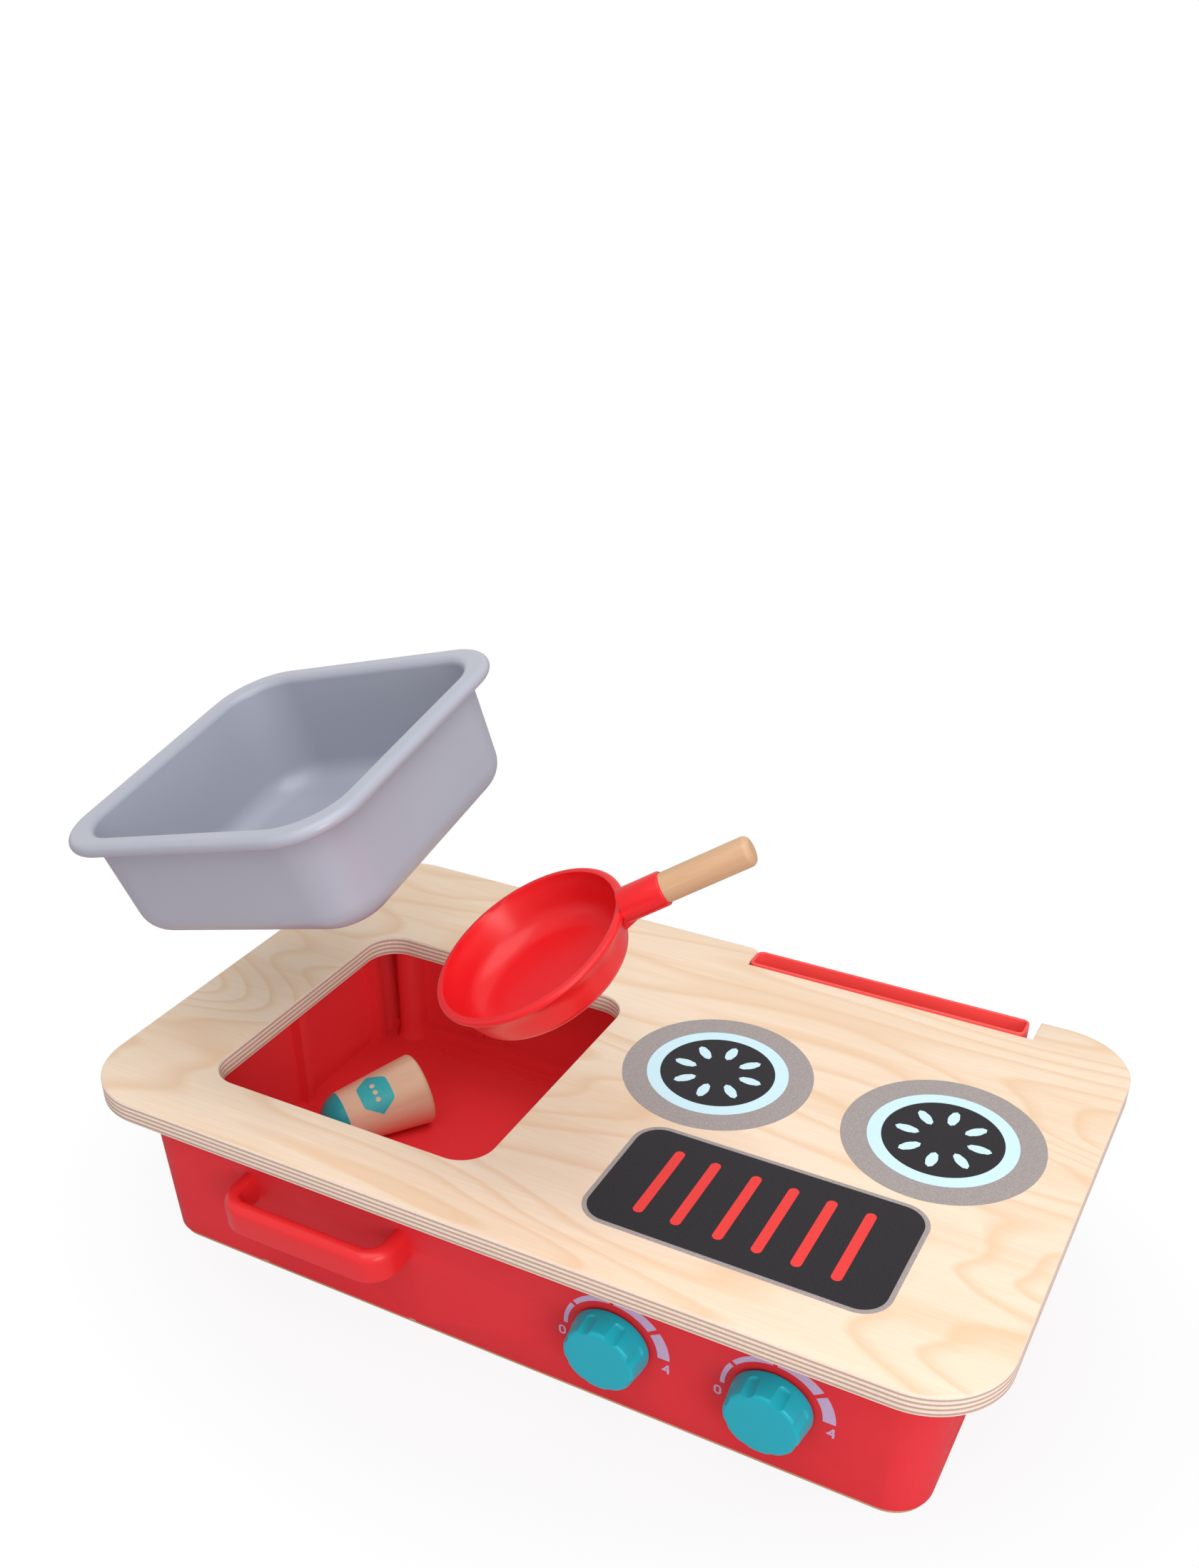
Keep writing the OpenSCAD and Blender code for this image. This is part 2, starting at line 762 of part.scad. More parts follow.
module knob(x) {
    core_top = knob_gap + knob_l - knob_front;
    flat_r = knob_face_r - knob_edge_r;
    tilt = atan(hollow_depth / (knob_l - hollow_start));
    color("#2aa9b5")
        on_front(x, knob_drop)
            difference() {
                union() {
                    difference() {
                        rotate_extrude() {
                            translate([0, knob_gap])
                                polygon([
                                    [0, 0], [knob_r, 0], [knob_face_r, knob_l - knob_edge_r],
                                    [flat_r, knob_l], [0, knob_l],
                                ]);
                            translate([flat_r, knob_gap + knob_l - knob_edge_r])
                                intersection() {
                                    circle(knob_edge_r);
                                    square(knob_edge_r);
                                }
                        }
                        translate([0, 0, knob_gap - 1])
                            cylinder(h = core_top - knob_gap + 1, r = knob_core_r);
                        for (k = [0:knob_hollows - 1])
                            rotate([0, 0, (k + 0.5) * 360 / knob_hollows])
                                translate([knob_face_r + hollow_r, 0, knob_gap + hollow_start])
                                    rotate([0, -tilt, 0])
                                        cylinder(h = 2 * knob_l, r = hollow_r);
                    }
                    translate([0, 0, end_play])
                        cylinder(h = core_top - end_play + eps, r = collar_r);
                    translate([0, 0, -shaft_end])
                        cylinder(h = shaft_end + 1, r = shaft_r);
                }
                translate([0, 0, -shaft_end - 1])
                    cylinder(h = knob_screw_l + 1.5, r = small_screw_r);
            }
}

module knob_washer(x) {
    color("#b9bcc0")
        on_front(x, knob_drop)
            translate([0, 0, -shaft_end - washer_t])
                difference() {
                    cylinder(h = washer_t, r = washer_r);
                    translate([0, 0, -1])
                        cylinder(h = washer_t + 2, r = small_screw_r + screw_gap);
                }
}

module knob_screw(x) {
    color("#8f9194")
        on_front(x, knob_drop)
            translate([0, 0, -shaft_end - washer_t])
                round_screw(small_head_r, small_head_h, small_screw_r, washer_t + knob_screw_l);
}

module knob_left() {
    knob(knob_left_x);
}

module knob_right() {
    knob(knob_right_x);
}

module knob_left_washer() {
    knob_washer(knob_left_x);
}

module knob_right_washer() {
    knob_washer(knob_right_x);
}

module knob_left_screw() {
    knob_screw(knob_left_x);
}

module knob_right_screw() {
    knob_screw(knob_right_x);
}

module zero_mark() {
    w = digit_h * 0.62;
    difference() {
        upright_oval(w, digit_h);
        upright_oval(w - 2 * digit_stroke, digit_h - 2 * digit_stroke);
    }
}

module four_mark() {
    w = digit_h * 0.66;
    translate([w * 0.18, -digit_h / 2])
        square([digit_stroke, digit_h]);
    translate([-w / 2, -digit_h * 0.22])
        square([w, digit_stroke]);
    polygon([
        [-w / 2, -digit_h * 0.22], [w * 0.18, digit_h / 2], [w * 0.18 + digit_stroke, digit_h / 2],
        [-w / 2 + digit_stroke * 1.3, -digit_h * 0.22],
    ]);
}

module dial_segment(from, to) {
    far = 2 * dial_outer_r;
    intersection() {
        difference() {
            translate([dial_swell, 0])
                circle(dial_outer_r);
            circle(dial_r);
        }
        polygon([[0, 0], [far * cos(from), far * sin(from)], [far * cos(to), far * sin(to)]]);
    }
}

module dial_prints() {
    from = concat(0, [for (a = dial_splits) a + dial_gap / 2]);
    to = concat([for (a = dial_splits) a - dial_gap / 2], 180);
    color("#c4adcb")
        for (x = [knob_left_x, knob_right_x])
            on_front(x, knob_drop)
                linear_extrude(ink_t) {
                    for (k = [0:len(dial_splits)])
                        dial_segment(from[k], to[k]);
                    translate([-dial_outer_r + dial_swell / 2, -digit_h])
                        zero_mark();
                    translate([dial_outer_r, -digit_h])
                        four_mark();
                }
}

module back_tray() {
    mid_y = tray_front + tray_d / 2;
    color("#e03a3a")
        difference() {
            union() {
                translate([tray_x, mid_y, tray_top - tray_h])
                    linear_extrude(tray_h)
                        rounded_rect(tray_w, tray_d, tray_r);
                for (s = [-1, 1])
                    translate([tray_x + s * tab_x - tab_w / 2, tray_front - tab_l, tub_top - tab_t])
                        cube([tab_w, tab_l + tray_wall / 2, tab_t]);
            }
            translate([tray_x, mid_y, tray_top - tray_h + tray_wall])
                linear_extrude(tray_h)
                    rounded_rect(tray_w - 2 * tray_wall, tray_d - 2 * tray_wall, tray_r - tray_wall);
            for (s = [-1, 1])
                translate([tray_x + s * tab_x, tray_front - tab_l / 2, tub_top - tab_t - 1])
                    cylinder(h = tab_t + 2, r = small_screw_r + screw_gap);
        }
}

module tray_screws() {
    color("#8f9194")
        for (s = [-1, 1])
            translate([tray_x + s * tab_x, tray_front - tab_l / 2, tub_top - tab_t])
                round_screw(small_head_r, small_head_h, small_screw_r, tab_t + screw_grip);
}

module rim_outline() {
    bead = rim_r - rim_h / 2;
    square([bead, rim_h]);
    translate([bead, rim_h / 2])
        circle(rim_h / 2);
}

module basin_hollow() {
    reach = basin_r - basin_wall;
    wall_section(reach, basin_lean, basin_depth - basin_wall, basin_fillet - basin_wall);
    square([reach, rim_h - rim_flare]);
    difference() {
        translate([0, rim_h - rim_flare])
            square([reach + rim_flare, rim_flare + 1]);
        translate([reach + rim_flare, rim_h - rim_flare])
            circle(rim_flare);
    }
}

module sink_basin() {
    span = basin_side - 2 * basin_r;
    rim_span = rim_side - 2 * rim_r;
    color("#b9bfc9")
        held(basin_pivot, basin_axis, basin_turn)
            translate(basin_seat)
                difference() {
                    union() {
                        rounded_block(span, span, -basin_depth, eps)
                            wall_section(basin_r, basin_lean, basin_depth, basin_fillet);
                        rounded_block(rim_span, rim_span, 0, rim_h)
                            rim_outline();
                    }
                    rounded_block(span, span, basin_wall - basin_depth, rim_h + 1)
                        basin_hollow();
                }
}

module on_pan() {
    held(pan_pivot, pan_axis, pan_turn)
        translate(pan_seat)
            rotate([0, 0, pan_heading])
                children();
}

module pan_bowl() {
    top_r = pan_r - lip_r;
    inner_r = top_r - pan_wall;
    color("#e02026")
        on_pan()
            difference() {
                union() {
                    rotate_extrude() {
                        translate([0, pan_h - lip_r])
                            wall_section(top_r, pan_lean, pan_h - lip_r, pan_fillet);
                        translate([0, pan_h - 2 * lip_r])
                            square([top_r, 2 * lip_r]);
                        translate([top_r, pan_h - lip_r])
                            circle(lip_r);
                    }
                    translate([sleeve_from, 0, sleeve_z])
                        rotate([0, 90, 0])
                            cylinder(h = sleeve_end - sleeve_from, r = sleeve_r);
                    rotate([90, 0, 0])
                        linear_extrude(web_t, center = true)
                            polygon([
                                [pan_r - pan_lean, web_foot], [pan_r + web_l, sleeve_z - sleeve_r + 1],
                                [pan_r + web_l, sleeve_z], [top_r - pan_wall, sleeve_z],
                            ]);
                }
                rotate_extrude() {
                    translate([0, pan_h - lip_r])
                        wall_section(inner_r, pan_lean, pan_h - lip_r - pan_wall, pan_fillet - pan_wall);
                    translate([0, pan_h - lip_r - eps])
                        square([inner_r, 2 * lip_r]);
                }
                translate([socket_from, 0, sleeve_z])
                    rotate([0, 90, 0])
                        cylinder(h = sleeve_end, r = dowel_r + fit_gap);
                translate([(socket_from + sleeve_end) / 2, 0, 0])
                    cylinder(h = sleeve_z, r = pin_r + fit_gap);
            }
}

module pan_handle() {
    color("#e3bd97")
        on_pan()
            difference() {
                translate([0, 0, sleeve_z])
                    rotate([0, 90, 0])
                        rotate_extrude() {
                            translate([0, socket_from])
                                square([dowel_r, dowel_end - dowel_round - socket_from]);
                            translate([0, socket_from])
                                square([dowel_r - dowel_round, dowel_end - socket_from]);
                            intersection() {
                                translate([dowel_r - dowel_round, dowel_end - dowel_round])
                                    circle(dowel_round);
                                translate([dowel_r - dowel_round, dowel_end - dowel_round])
                                    square(dowel_round);
                            }
                        }
                translate([(socket_from + sleeve_end) / 2, 0, 0])
                    cylinder(h = sleeve_z, r = pin_r + fit_gap);
            }
}

module pan_handle_pin() {
    color("#b9bcc0")
        on_pan()
            translate([(socket_from + sleeve_end) / 2, 0, sleeve_z - sleeve_r - 0.5])
                cylinder(h = sleeve_r, r = pin_r);
}

module shaker() {
    color("#e8c9a8")
        translate([shaker_x, shaker_y, panel_z + rest_gap])
            rotate([0, 0, shaker_turn])
                rotate([0, 90 + shaker_lean, 0])
                    translate([-shaker_base_r, 0, 0])
                        rotate_extrude() {
                            polygon([
                                [0, 0], [shaker_base_r, 0], [shaker_neck_r, shaker_l], [0, shaker_l],
                            ]);
                            intersection() {
                                translate([0, dome_z])
                                    circle(shaker_dome_r);
                                translate([0, shaker_l])
                                    square(shaker_dome_r);
                            }
                        }
}

worktop();
print_grey();
print_blue();
print_black();
print_red();
tub();
base_board();
base_screws();
worktop_screws();
front_handle();
handle_screws();
knob_left();
knob_right();
knob_left_washer();
knob_right_washer();
knob_left_screw();
knob_right_screw();
dial_prints();
back_tray();
tray_screws();
sink_basin();
pan_bowl();
pan_handle();
pan_handle_pin();
shaker();
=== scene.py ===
import math
import bmesh
import bpy
from mathutils import Matrix, Vector


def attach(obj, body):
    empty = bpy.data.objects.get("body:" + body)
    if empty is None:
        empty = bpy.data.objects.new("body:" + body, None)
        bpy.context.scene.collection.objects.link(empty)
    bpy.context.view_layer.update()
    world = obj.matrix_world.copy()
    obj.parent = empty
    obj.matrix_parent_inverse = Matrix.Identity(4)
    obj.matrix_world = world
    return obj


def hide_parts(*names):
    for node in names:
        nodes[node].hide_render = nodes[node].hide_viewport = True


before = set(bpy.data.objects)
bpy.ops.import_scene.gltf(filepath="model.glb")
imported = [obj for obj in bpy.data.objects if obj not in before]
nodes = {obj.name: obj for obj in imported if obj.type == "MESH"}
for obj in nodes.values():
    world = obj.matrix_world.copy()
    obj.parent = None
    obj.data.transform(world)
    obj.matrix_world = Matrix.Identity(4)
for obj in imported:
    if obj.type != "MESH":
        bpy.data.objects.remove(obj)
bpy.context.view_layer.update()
mm = 0.001
samePlace = 0.002 * mm  # vertices closer than this are one
rightAngle = math.radians(90)


# Selecting and finishing

def onlySelect(piece):
    if bpy.context.object and bpy.context.object.mode != "OBJECT":
        bpy.ops.object.mode_set(mode="OBJECT")
    bpy.ops.object.select_all(action="DESELECT")
    piece.select_set(True)
    bpy.context.view_layer.objects.active = piece


def startEdit(piece, kind="FACE"):
    onlySelect(piece)
    bpy.ops.object.mode_set(mode="EDIT")
    bpy.ops.mesh.select_mode(type=kind)
    bpy.ops.mesh.select_all(action="DESELECT")


def endEdit():
    bpy.ops.object.mode_set(mode="OBJECT")


def pick(piece, kind, test):
    # selects the edges or faces that pass the test, in edit mode
    mesh = bmesh.from_edit_mesh(piece.data)
    for part in (mesh.edges if kind == "EDGE" else mesh.faces):
        part.select = bool(test(part))
    mesh.select_flush_mode()
    bmesh.update_edit_mesh(piece.data)


def edgeMiddle(edge):
    return (edge.verts[0].co + edge.verts[1].co) / 2


def upright(edge):
    return abs((edge.verts[1].co - edge.verts[0].co).normalized().z) > 0.9


def placeMesh(piece, matrix=None):
    # puts the piece's place into its mesh, so that the object sits at the origin
    onlySelect(piece)
    if matrix is not None:
        piece.matrix_world = matrix @ piece.matrix_world
    bpy.ops.object.transform_apply(location=True, rotation=True, scale=True)


def facesOut(piece):
    startEdit(piece)
    bpy.ops.mesh.select_all(action="SELECT")
    bpy.ops.mesh.remove_doubles(threshold=samePlace)
    bpy.ops.mesh.normals_make_consistent(inside=False)
    endEdit()


def applyModifier(piece, kind, **settings):
    onlySelect(piece)
    modifier = piece.modifiers.new(kind.title(), kind)
    for key, value in settings.items():
        setattr(modifier, key, value)
    bpy.ops.object.modifier_apply(modifier=modifier.name)


def cutWith(piece, cutter, operation="DIFFERENCE"):
    applyModifier(piece, "BOOLEAN", operation=operation, object=cutter, solver="EXACT")
    onlySelect(cutter)
    bpy.ops.object.delete()


def softenEdges(piece, width, segments, angle):
    applyModifier(piece, "BEVEL", width=width * mm, segments=segments, limit_method="ANGLE",
                  angle_limit=math.radians(angle), harden_normals=False, use_clamp_overlap=True)


def smooth(piece, angle):
    onlySelect(piece)
    bpy.ops.object.shade_smooth_by_angle(angle=math.radians(angle))


def finishPiece(piece, name, body, material, node):
    # names the piece, dresses it and sets it in place of its frame node
    piece.name = name
    piece.data.name = name
    if material is not None:
        piece.data.materials.clear()
        piece.data.materials.append(material)
    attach(piece, body)
    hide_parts(node)


def dressNodes(names, material):
    # gives frame nodes whose shape stays a material
    for name in names:
        nodes[name].data.materials.clear()
        nodes[name].data.materials.append(material)


# Bodies, in mm

def addBox(size, centre):
    bpy.ops.object.select_all(action="DESELECT")
    bpy.ops.mesh.primitive_cube_add(size=1, location=[c * mm for c in centre], scale=[s * mm for s in size])
    piece = bpy.context.object
    placeMesh(piece)
    return piece


def addTube(radius, length, centre, sides, turn=(0, 0, 0)):
    bpy.ops.object.select_all(action="DESELECT")
    bpy.ops.mesh.primitive_cylinder_add(vertices=sides, radius=radius * mm, depth=length * mm,
                                        location=[c * mm for c in centre], rotation=turn)
    piece = bpy.context.object
    placeMesh(piece)
    return piece


def addPost(radius, low, high, sides):
    return addTube(radius, high - low, (0, 0, (low + high) / 2), sides)


def grow(x=0.0, y=0.0, z=0.0):
    # extrudes what is selected by a distance along each axis
    bpy.ops.mesh.extrude_region_move(TRANSFORM_OT_translate={"value": (x * mm, y * mm, z * mm)})


def growRound(rings, sides):
    # a disc is extruded through rings of (radius, height) about the z axis
    radius, height = rings[0]
    bpy.ops.object.select_all(action="DESELECT")
    bpy.ops.mesh.primitive_circle_add(vertices=sides, radius=radius * mm, fill_type="NGON",
                                      location=(0, 0, height * mm))
    piece = bpy.context.object
    placeMesh(piece)
    startEdit(piece)
    bpy.ops.mesh.select_all(action="SELECT")
    for nextRadius, nextHeight in rings[1:]:
        grow(z=nextHeight - height)
        ratio = nextRadius / radius
        bpy.ops.transform.resize(value=(ratio, ratio, 1), center_override=(0, 0, 0))
        radius, height = nextRadius, nextHeight
    endEdit()
    facesOut(piece)
    return piece


def arc(middle, height, radius, start, end, steps):
    # the outline's points along an arc, from one angle to another
    points = []
    for k in range(steps + 1):
        a = math.radians(start + (end - start) * k / steps)
        points.append((middle + radius * math.cos(a), height + radius * math.sin(a)))
    return points


def line(start, end, steps):
    # points along a straight line, without its start
    return [(start[0] + (end[0] - start[0]) * k / steps, start[1] + (end[1] - start[1]) * k / steps)
            for k in range(1, steps + 1)]


def wallLine(top, lean, depth, fillet):
    # a leaning wall's outline from its foot up to z = 0
    slope = math.atan(lean / depth)
    foot = top - lean * (depth - fillet) / depth - fillet / math.cos(slope)
    return arc(foot, fillet - depth, fillet, -90, -math.degrees(slope), 10) + [(top, 0)]


def roundEdges(piece, test, radius, segments):
    # rounds the edges that pass the test
    startEdit(piece, "EDGE")
    pick(piece, "EDGE", test)
    bpy.ops.mesh.bevel(offset=radius * mm, segments=segments, affect="EDGES")
    endEdit()


def roundUprights(box, radius, segments):
    roundEdges(box, upright, radius, segments)


def heldPlace(s):
    # where a loose piece is held: its seat, turned about a line beside the toy
    seat = Vector(s["seat"])
    point = (seat + s["arm"] * Vector(s["away"])) * mm
    turn = Matrix.Rotation(math.radians(s["turn"]), 4, Vector(s["axis"]))
    return Matrix.Translation(point) @ turn @ Matrix.Translation(-point) @ Matrix.Translation(seat * mm)


# Colours and materials

def tint(code):
    # a screen colour as the shader's linear one
    parts = [int(code[i:i + 2], 16) / 255 for i in (0, 2, 4)]
    return [p / 12.92 if p <= 0.04045 else ((p + 0.055) / 1.055) ** 2.4 for p in parts] + [1]


def newMaterial(name):
    material = bpy.data.materials.new(name)
    material.use_nodes = True
    tree = material.node_tree
    shader = tree.nodes["Principled BSDF"]
    return material, tree, shader


def addNode(tree, kind, settings=None, **values):
    node = tree.nodes.new(kind)
    for key, value in (settings or {}).items():
        setattr(node, key, value)
    for key, value in values.items():
        node.inputs[key.replace("_", " ")].default_value = value
    return node


def objectPlace(tree, scale=(1, 1, 1), turn=(0, 0, 0), move=(0, 0, 0)):
    place = addNode(tree, "ShaderNodeTexCoord")
    mapping = addNode(tree, "ShaderNodeMapping", Scale=scale, Rotation=turn, Location=move)
    tree.links.new(place.outputs["Object"], mapping.inputs["Vector"])
    return mapping.outputs["Vector"]


def noise(tree, place, scale, detail, roughness=0.5, distortion=0.0):
    node = addNode(tree, "ShaderNodeTexNoise", Scale=scale, Detail=detail, Roughness=roughness,
                   Distortion=distortion)
    tree.links.new(place, node.inputs["Vector"])
    return node.outputs["Fac"]


def ramp(tree, value, stops):
    node = tree.nodes.new("ShaderNodeValToRGB")
    bar = node.color_ramp
    while len(bar.elements) < len(stops):
        bar.elements.new(0.5)
    for element, (position, colour) in zip(bar.elements, stops):
        element.position = position
        element.color = colour
    tree.links.new(value, node.inputs["Fac"])
    return node.outputs["Color"]


def mixColour(tree, factor, first, second, blend="MIX"):
    node = addNode(tree, "ShaderNodeMix", {"data_type": "RGBA", "blend_type": blend})
    for socket, value in ((node.inputs[0], factor), (node.inputs[6], first), (node.inputs[7], second)):
        if hasattr(value, "links"):
            tree.links.new(value, socket)
        else:
            socket.default_value = value
    return node.outputs[2]


def calculate(tree, operation, first, second=0.0, third=None):
    node = addNode(tree, "ShaderNodeMath", {"operation": operation})
    for socket, value in zip(node.inputs, (first, second, third)):
        if value is None:
            continue
        if hasattr(value, "links"):
            tree.links.new(value, socket)
        else:
            socket.default_value = value
    return node.outputs[0]


def mapRange(tree, value, low, high, newLow, newHigh):
    node = addNode(tree, "ShaderNodeMapRange")
    for key, number in (("From Min", low), ("From Max", high), ("To Min", newLow), ("To Max", newHigh)):
        node.inputs[key].default_value = number
    tree.links.new(value, node.inputs["Value"])
    return node.outputs["Result"]


def bump(tree, height, strength, distance, shader):
    node = addNode(tree, "ShaderNodeBump", Strength=strength, Distance=distance)
    tree.links.new(height, node.inputs["Height"])
    tree.links.new(node.outputs["Normal"], shader.inputs["Normal"])


def mouldedPlastic(name, colour, shade, roughness=0.35, grain=2600, grainDepth=0.01, coat=0.0, specular=0.3):
    # moulded plastic: a slight drift in colour and gloss, and a fine skin
    material, tree, shader = newMaterial(name)
    place = objectPlace(tree)
    drift = noise(tree, place, 9, 2)
    tree.links.new(ramp(tree, drift, [(0.35, tint(colour)), (0.7, tint(shade))]), shader.inputs["Base Color"])
    worn = noise(tree, place, 45, 4)
    gloss = mapRange(tree, worn, 0.3, 0.7, roughness * 0.88, roughness * 1.15)
    tree.links.new(gloss, shader.inputs["Roughness"])
    shader.inputs["Coat Weight"].default_value = coat
    shader.inputs["Coat Roughness"].default_value = 0.22
    shader.inputs["Specular IOR Level"].default_value = specular
    bump(tree, noise(tree, place, grain, 2), 0.35, grainDepth * mm, shader)
    return material


def paintInsideLight(material, colour, middle, blend):
    # painted light: the faces that look to the tub's middle take a lighter red, which stands in for light on
    # the tub's inside
    tree = material.node_tree
    shader = tree.nodes["Principled BSDF"]
    shape = addNode(tree, "ShaderNodeNewGeometry")
    toMiddle = objectPlace(tree, move=[-c * mm for c in middle])
    facing = addNode(tree, "ShaderNodeVectorMath", {"operation": "DOT_PRODUCT"})
    tree.links.new(shape.outputs["Normal"], facing.inputs[0])
    tree.links.new(toMiddle, facing.inputs[1])
    paintedLightMask = mapRange(tree, facing.outputs["Value"], -blend * mm, blend * mm, 1, 0)
    outer = shader.inputs["Base Color"].links[0].from_socket
    tree.links.new(mixColour(tree, paintedLightMask, outer, tint(colour)), shader.inputs["Base Color"])


def screenInk(name, colour, speckle, contrast=0.4, grain=900):
    # printed ink: a speckle of two tones and the faint relief of the wood under it
    material, tree, shader = newMaterial(name)
    place = objectPlace(tree)
    dots = noise(tree, place, grain, 2, 0.7)
    tone = ramp(tree, dots, [(0.5 - contrast / 2, tint(colour)), (0.5 + contrast / 2, tint(speckle))])
    tree.links.new(tone, shader.inputs["Base Color"])
    shader.inputs["Roughness"].default_value = 0.55
    shader.inputs["Specular IOR Level"].default_value = 0.2
    grainPlace = objectPlace(tree, (40, 900, 900))
    bump(tree, noise(tree, grainPlace, 1, 2), 0.15, 0.04 * mm, shader)
    return material


def woodColour(tree, place, tones, streak):
    # broad bands of grain with fine fibres over them, along the place's x axis
    broad = addNode(tree, "ShaderNodeMapping", Scale=(4, 42, 42))
    fine = addNode(tree, "ShaderNodeMapping", Scale=(30, 900, 900))
    tree.links.new(place, broad.inputs["Vector"])
    tree.links.new(place, fine.inputs["Vector"])
    bands = noise(tree, broad.outputs["Vector"], 1, 4, 0.55, 0.8)
    fibres = noise(tree, fine.outputs["Vector"], 1, 3, 0.6)
    tone = ramp(tree, bands, [(0.3, tint(tones[0])), (0.5, tint(tones[1])), (0.72, tint(tones[2]))])
    fibre = ramp(tree, fibres, [(0.3, [streak] * 3 + [1]), (0.7, [1, 1, 1, 1])])
    return mixColour(tree, 0.55, tone, fibre, "MULTIPLY"), fibres


plyLook = {"face": ("f6e1c9", "f4dcc2", "efd1b0"), "vein": "e6c19b", "veinAmount": 0.7, "lines": 22,
           "veinStretch": (2.6, 11, 1), "veinTurn": 0.03, "veinShift": (3.1, 1.7, 0),
           "edgeLight": "f6e4d3", "edgeDark": "bfa591", "bottom": 94.5, "plies": 9, "thick": 12.0,
           "wobble": 0.25, "roughness": 0.45, "sawnRoughness": 0.62}


def plywood(s):
    material, tree, shader = newMaterial("birchPly")
    place = objectPlace(tree)
    face, fibres = woodColour(tree, place, s["face"], 0.86)
    # growth lines on the face follow the level lines of a stretched field, as in peeled veneer
    stretched = objectPlace(tree, s["veinStretch"], (0, 0, s["veinTurn"]), s["veinShift"])
    field = noise(tree, stretched, 1, 1.5, 0.35, 0.15)
    rise = calculate(tree, "FRACT", calculate(tree, "MULTIPLY", field, s["lines"]))
    veins = ramp(tree, rise, [(at, [v, v, v, 1]) for at, v in ((0.0, 0), (0.55, 0.12), (0.86, 1), (1.0, 0))])
    face = mixColour(tree, calculate(tree, "MULTIPLY", veins, s["veinAmount"]), face, tint(s["vein"]))
    # the stack of plies on every edge
    split = addNode(tree, "ShaderNodeSeparateXYZ")
    tree.links.new(place, split.inputs[0])
    pair = s["thick"] / s["plies"] * 2 * mm
    wobble = noise(tree, objectPlace(tree, (30, 30, 120)), 1, 2)
    height = calculate(tree, "ADD", split.outputs["Z"], calculate(tree, "MULTIPLY", wobble, s["wobble"] * mm))
    above = calculate(tree, "SUBTRACT", height, s["bottom"] * mm)
    layer = calculate(tree, "FRACT", calculate(tree, "DIVIDE", above, pair))
    light, dark = tint(s["edgeLight"]), tint(s["edgeDark"])
    stack = ramp(tree, layer, [(0.0, light), (0.38, light), (0.6, dark), (0.86, dark), (1.0, light)])
    sawn = noise(tree, objectPlace(tree, (700, 700, 250)), 1, 3, 0.7)
    sawnTone = ramp(tree, sawn, [(0.3, [0.72, 0.7, 0.68, 1]), (0.75, [1, 1, 1, 1])])
    stack = mixColour(tree, 0.35, stack, sawnTone, "MULTIPLY")
    # the normal tells the faces from the edges
    shape = addNode(tree, "ShaderNodeNewGeometry")
    facing = addNode(tree, "ShaderNodeSeparateXYZ")
    tree.links.new(shape.outputs["Normal"], facing.inputs[0])
    flat = mapRange(tree, calculate(tree, "ABSOLUTE", facing.outputs["Z"]), 0.75, 0.9, 0, 1)
    tree.links.new(mixColour(tree, flat, stack, face), shader.inputs["Base Color"])
    tree.links.new(mapRange(tree, flat, 0, 1, s["sawnRoughness"], s["roughness"]), shader.inputs["Roughness"])
    shader.inputs["Specular IOR Level"].default_value = 0.4
    steps = calculate(tree, "MULTIPLY", layer, calculate(tree, "SUBTRACT", 1, flat))
    bump(tree, calculate(tree, "ADD", fibres, steps), 0.25, 0.08 * mm, shader)
    return material


def solidWood(name, tones, streak, along, move=(0, 0, 0)):
    # turned wood whose grain runs along the piece
    material, tree, shader = newMaterial(name)
    place = objectPlace(tree, (1, 1, 1), along, move)
    colour, fibres = woodColour(tree, place, tones, streak)
    tree.links.new(colour, shader.inputs["Base Color"])
    shader.inputs["Roughness"].default_value = 0.45
    bump(tree, fibres, 0.25, 0.06 * mm, shader)
    return material


def platedSteel():
    material, tree, shader = newMaterial("platedSteel")
    place = objectPlace(tree)
    tone = ramp(tree, noise(tree, place, 600, 3), [(0.3, tint("9a9c9f")), (0.7, tint("b7b9bc"))])
    tree.links.new(tone, shader.inputs["Base Color"])
    shader.inputs["Metallic"].default_value = 1.0
    brushed = mapRange(tree, noise(tree, place, 300, 3), 0.3, 0.7, 0.28, 0.42)
    tree.links.new(brushed, shader.inputs["Roughness"])
    return material


ply = plywood(plyLook)
steel = platedSteel()
redTub = mouldedPlastic("redTubPlastic", "e6343c", "e03138", roughness=0.5, grainDepth=0.03, specular=0.2)
# painted light: the tub's inside faces are painted a lighter red than its outside
paintInsideLight(redTub, "ff4046", (0, 0, 60), 4)
redHandle = mouldedPlastic("redHandlePlastic", "e62c30", "de282c", roughness=0.32, coat=0.08)
redTray = mouldedPlastic("redTrayPlastic", "f85652", "f2514d", roughness=0.36)
redPan = mouldedPlastic("redPanPlastic", "e3151c", "dd1219", roughness=0.32, coat=0.08, specular=0.35)
tealKnob = mouldedPlastic("tealKnobPlastic", "14b0c0", "10a9ba", roughness=0.34, coat=0.08, specular=0.25)
greyBasin = mouldedPlastic("greyBasinPlastic", "abaeba", "a6a9b6", roughness=0.32, coat=0.08, specular=0.45)
tealPaint = mouldedPlastic("tealPaint", "2bb6bf", "26afb9", grain=1800, specular=0.35)
inkGrey = screenInk("inkGrey", "ada4a2", "968d8b", contrast=0.3, grain=1400)
inkBlue = screenInk("inkBlue", "d6f2fa", "c9e9f3")
inkBlack = screenInk("inkBlack", "1e1c1f", "29262a")
inkRed = screenInk("inkRed", "ea4441", "e23c3a")
inkLilac = screenInk("inkLilac", "ceb4d2", "c4a8ca")
print("materials made")


# Worktop

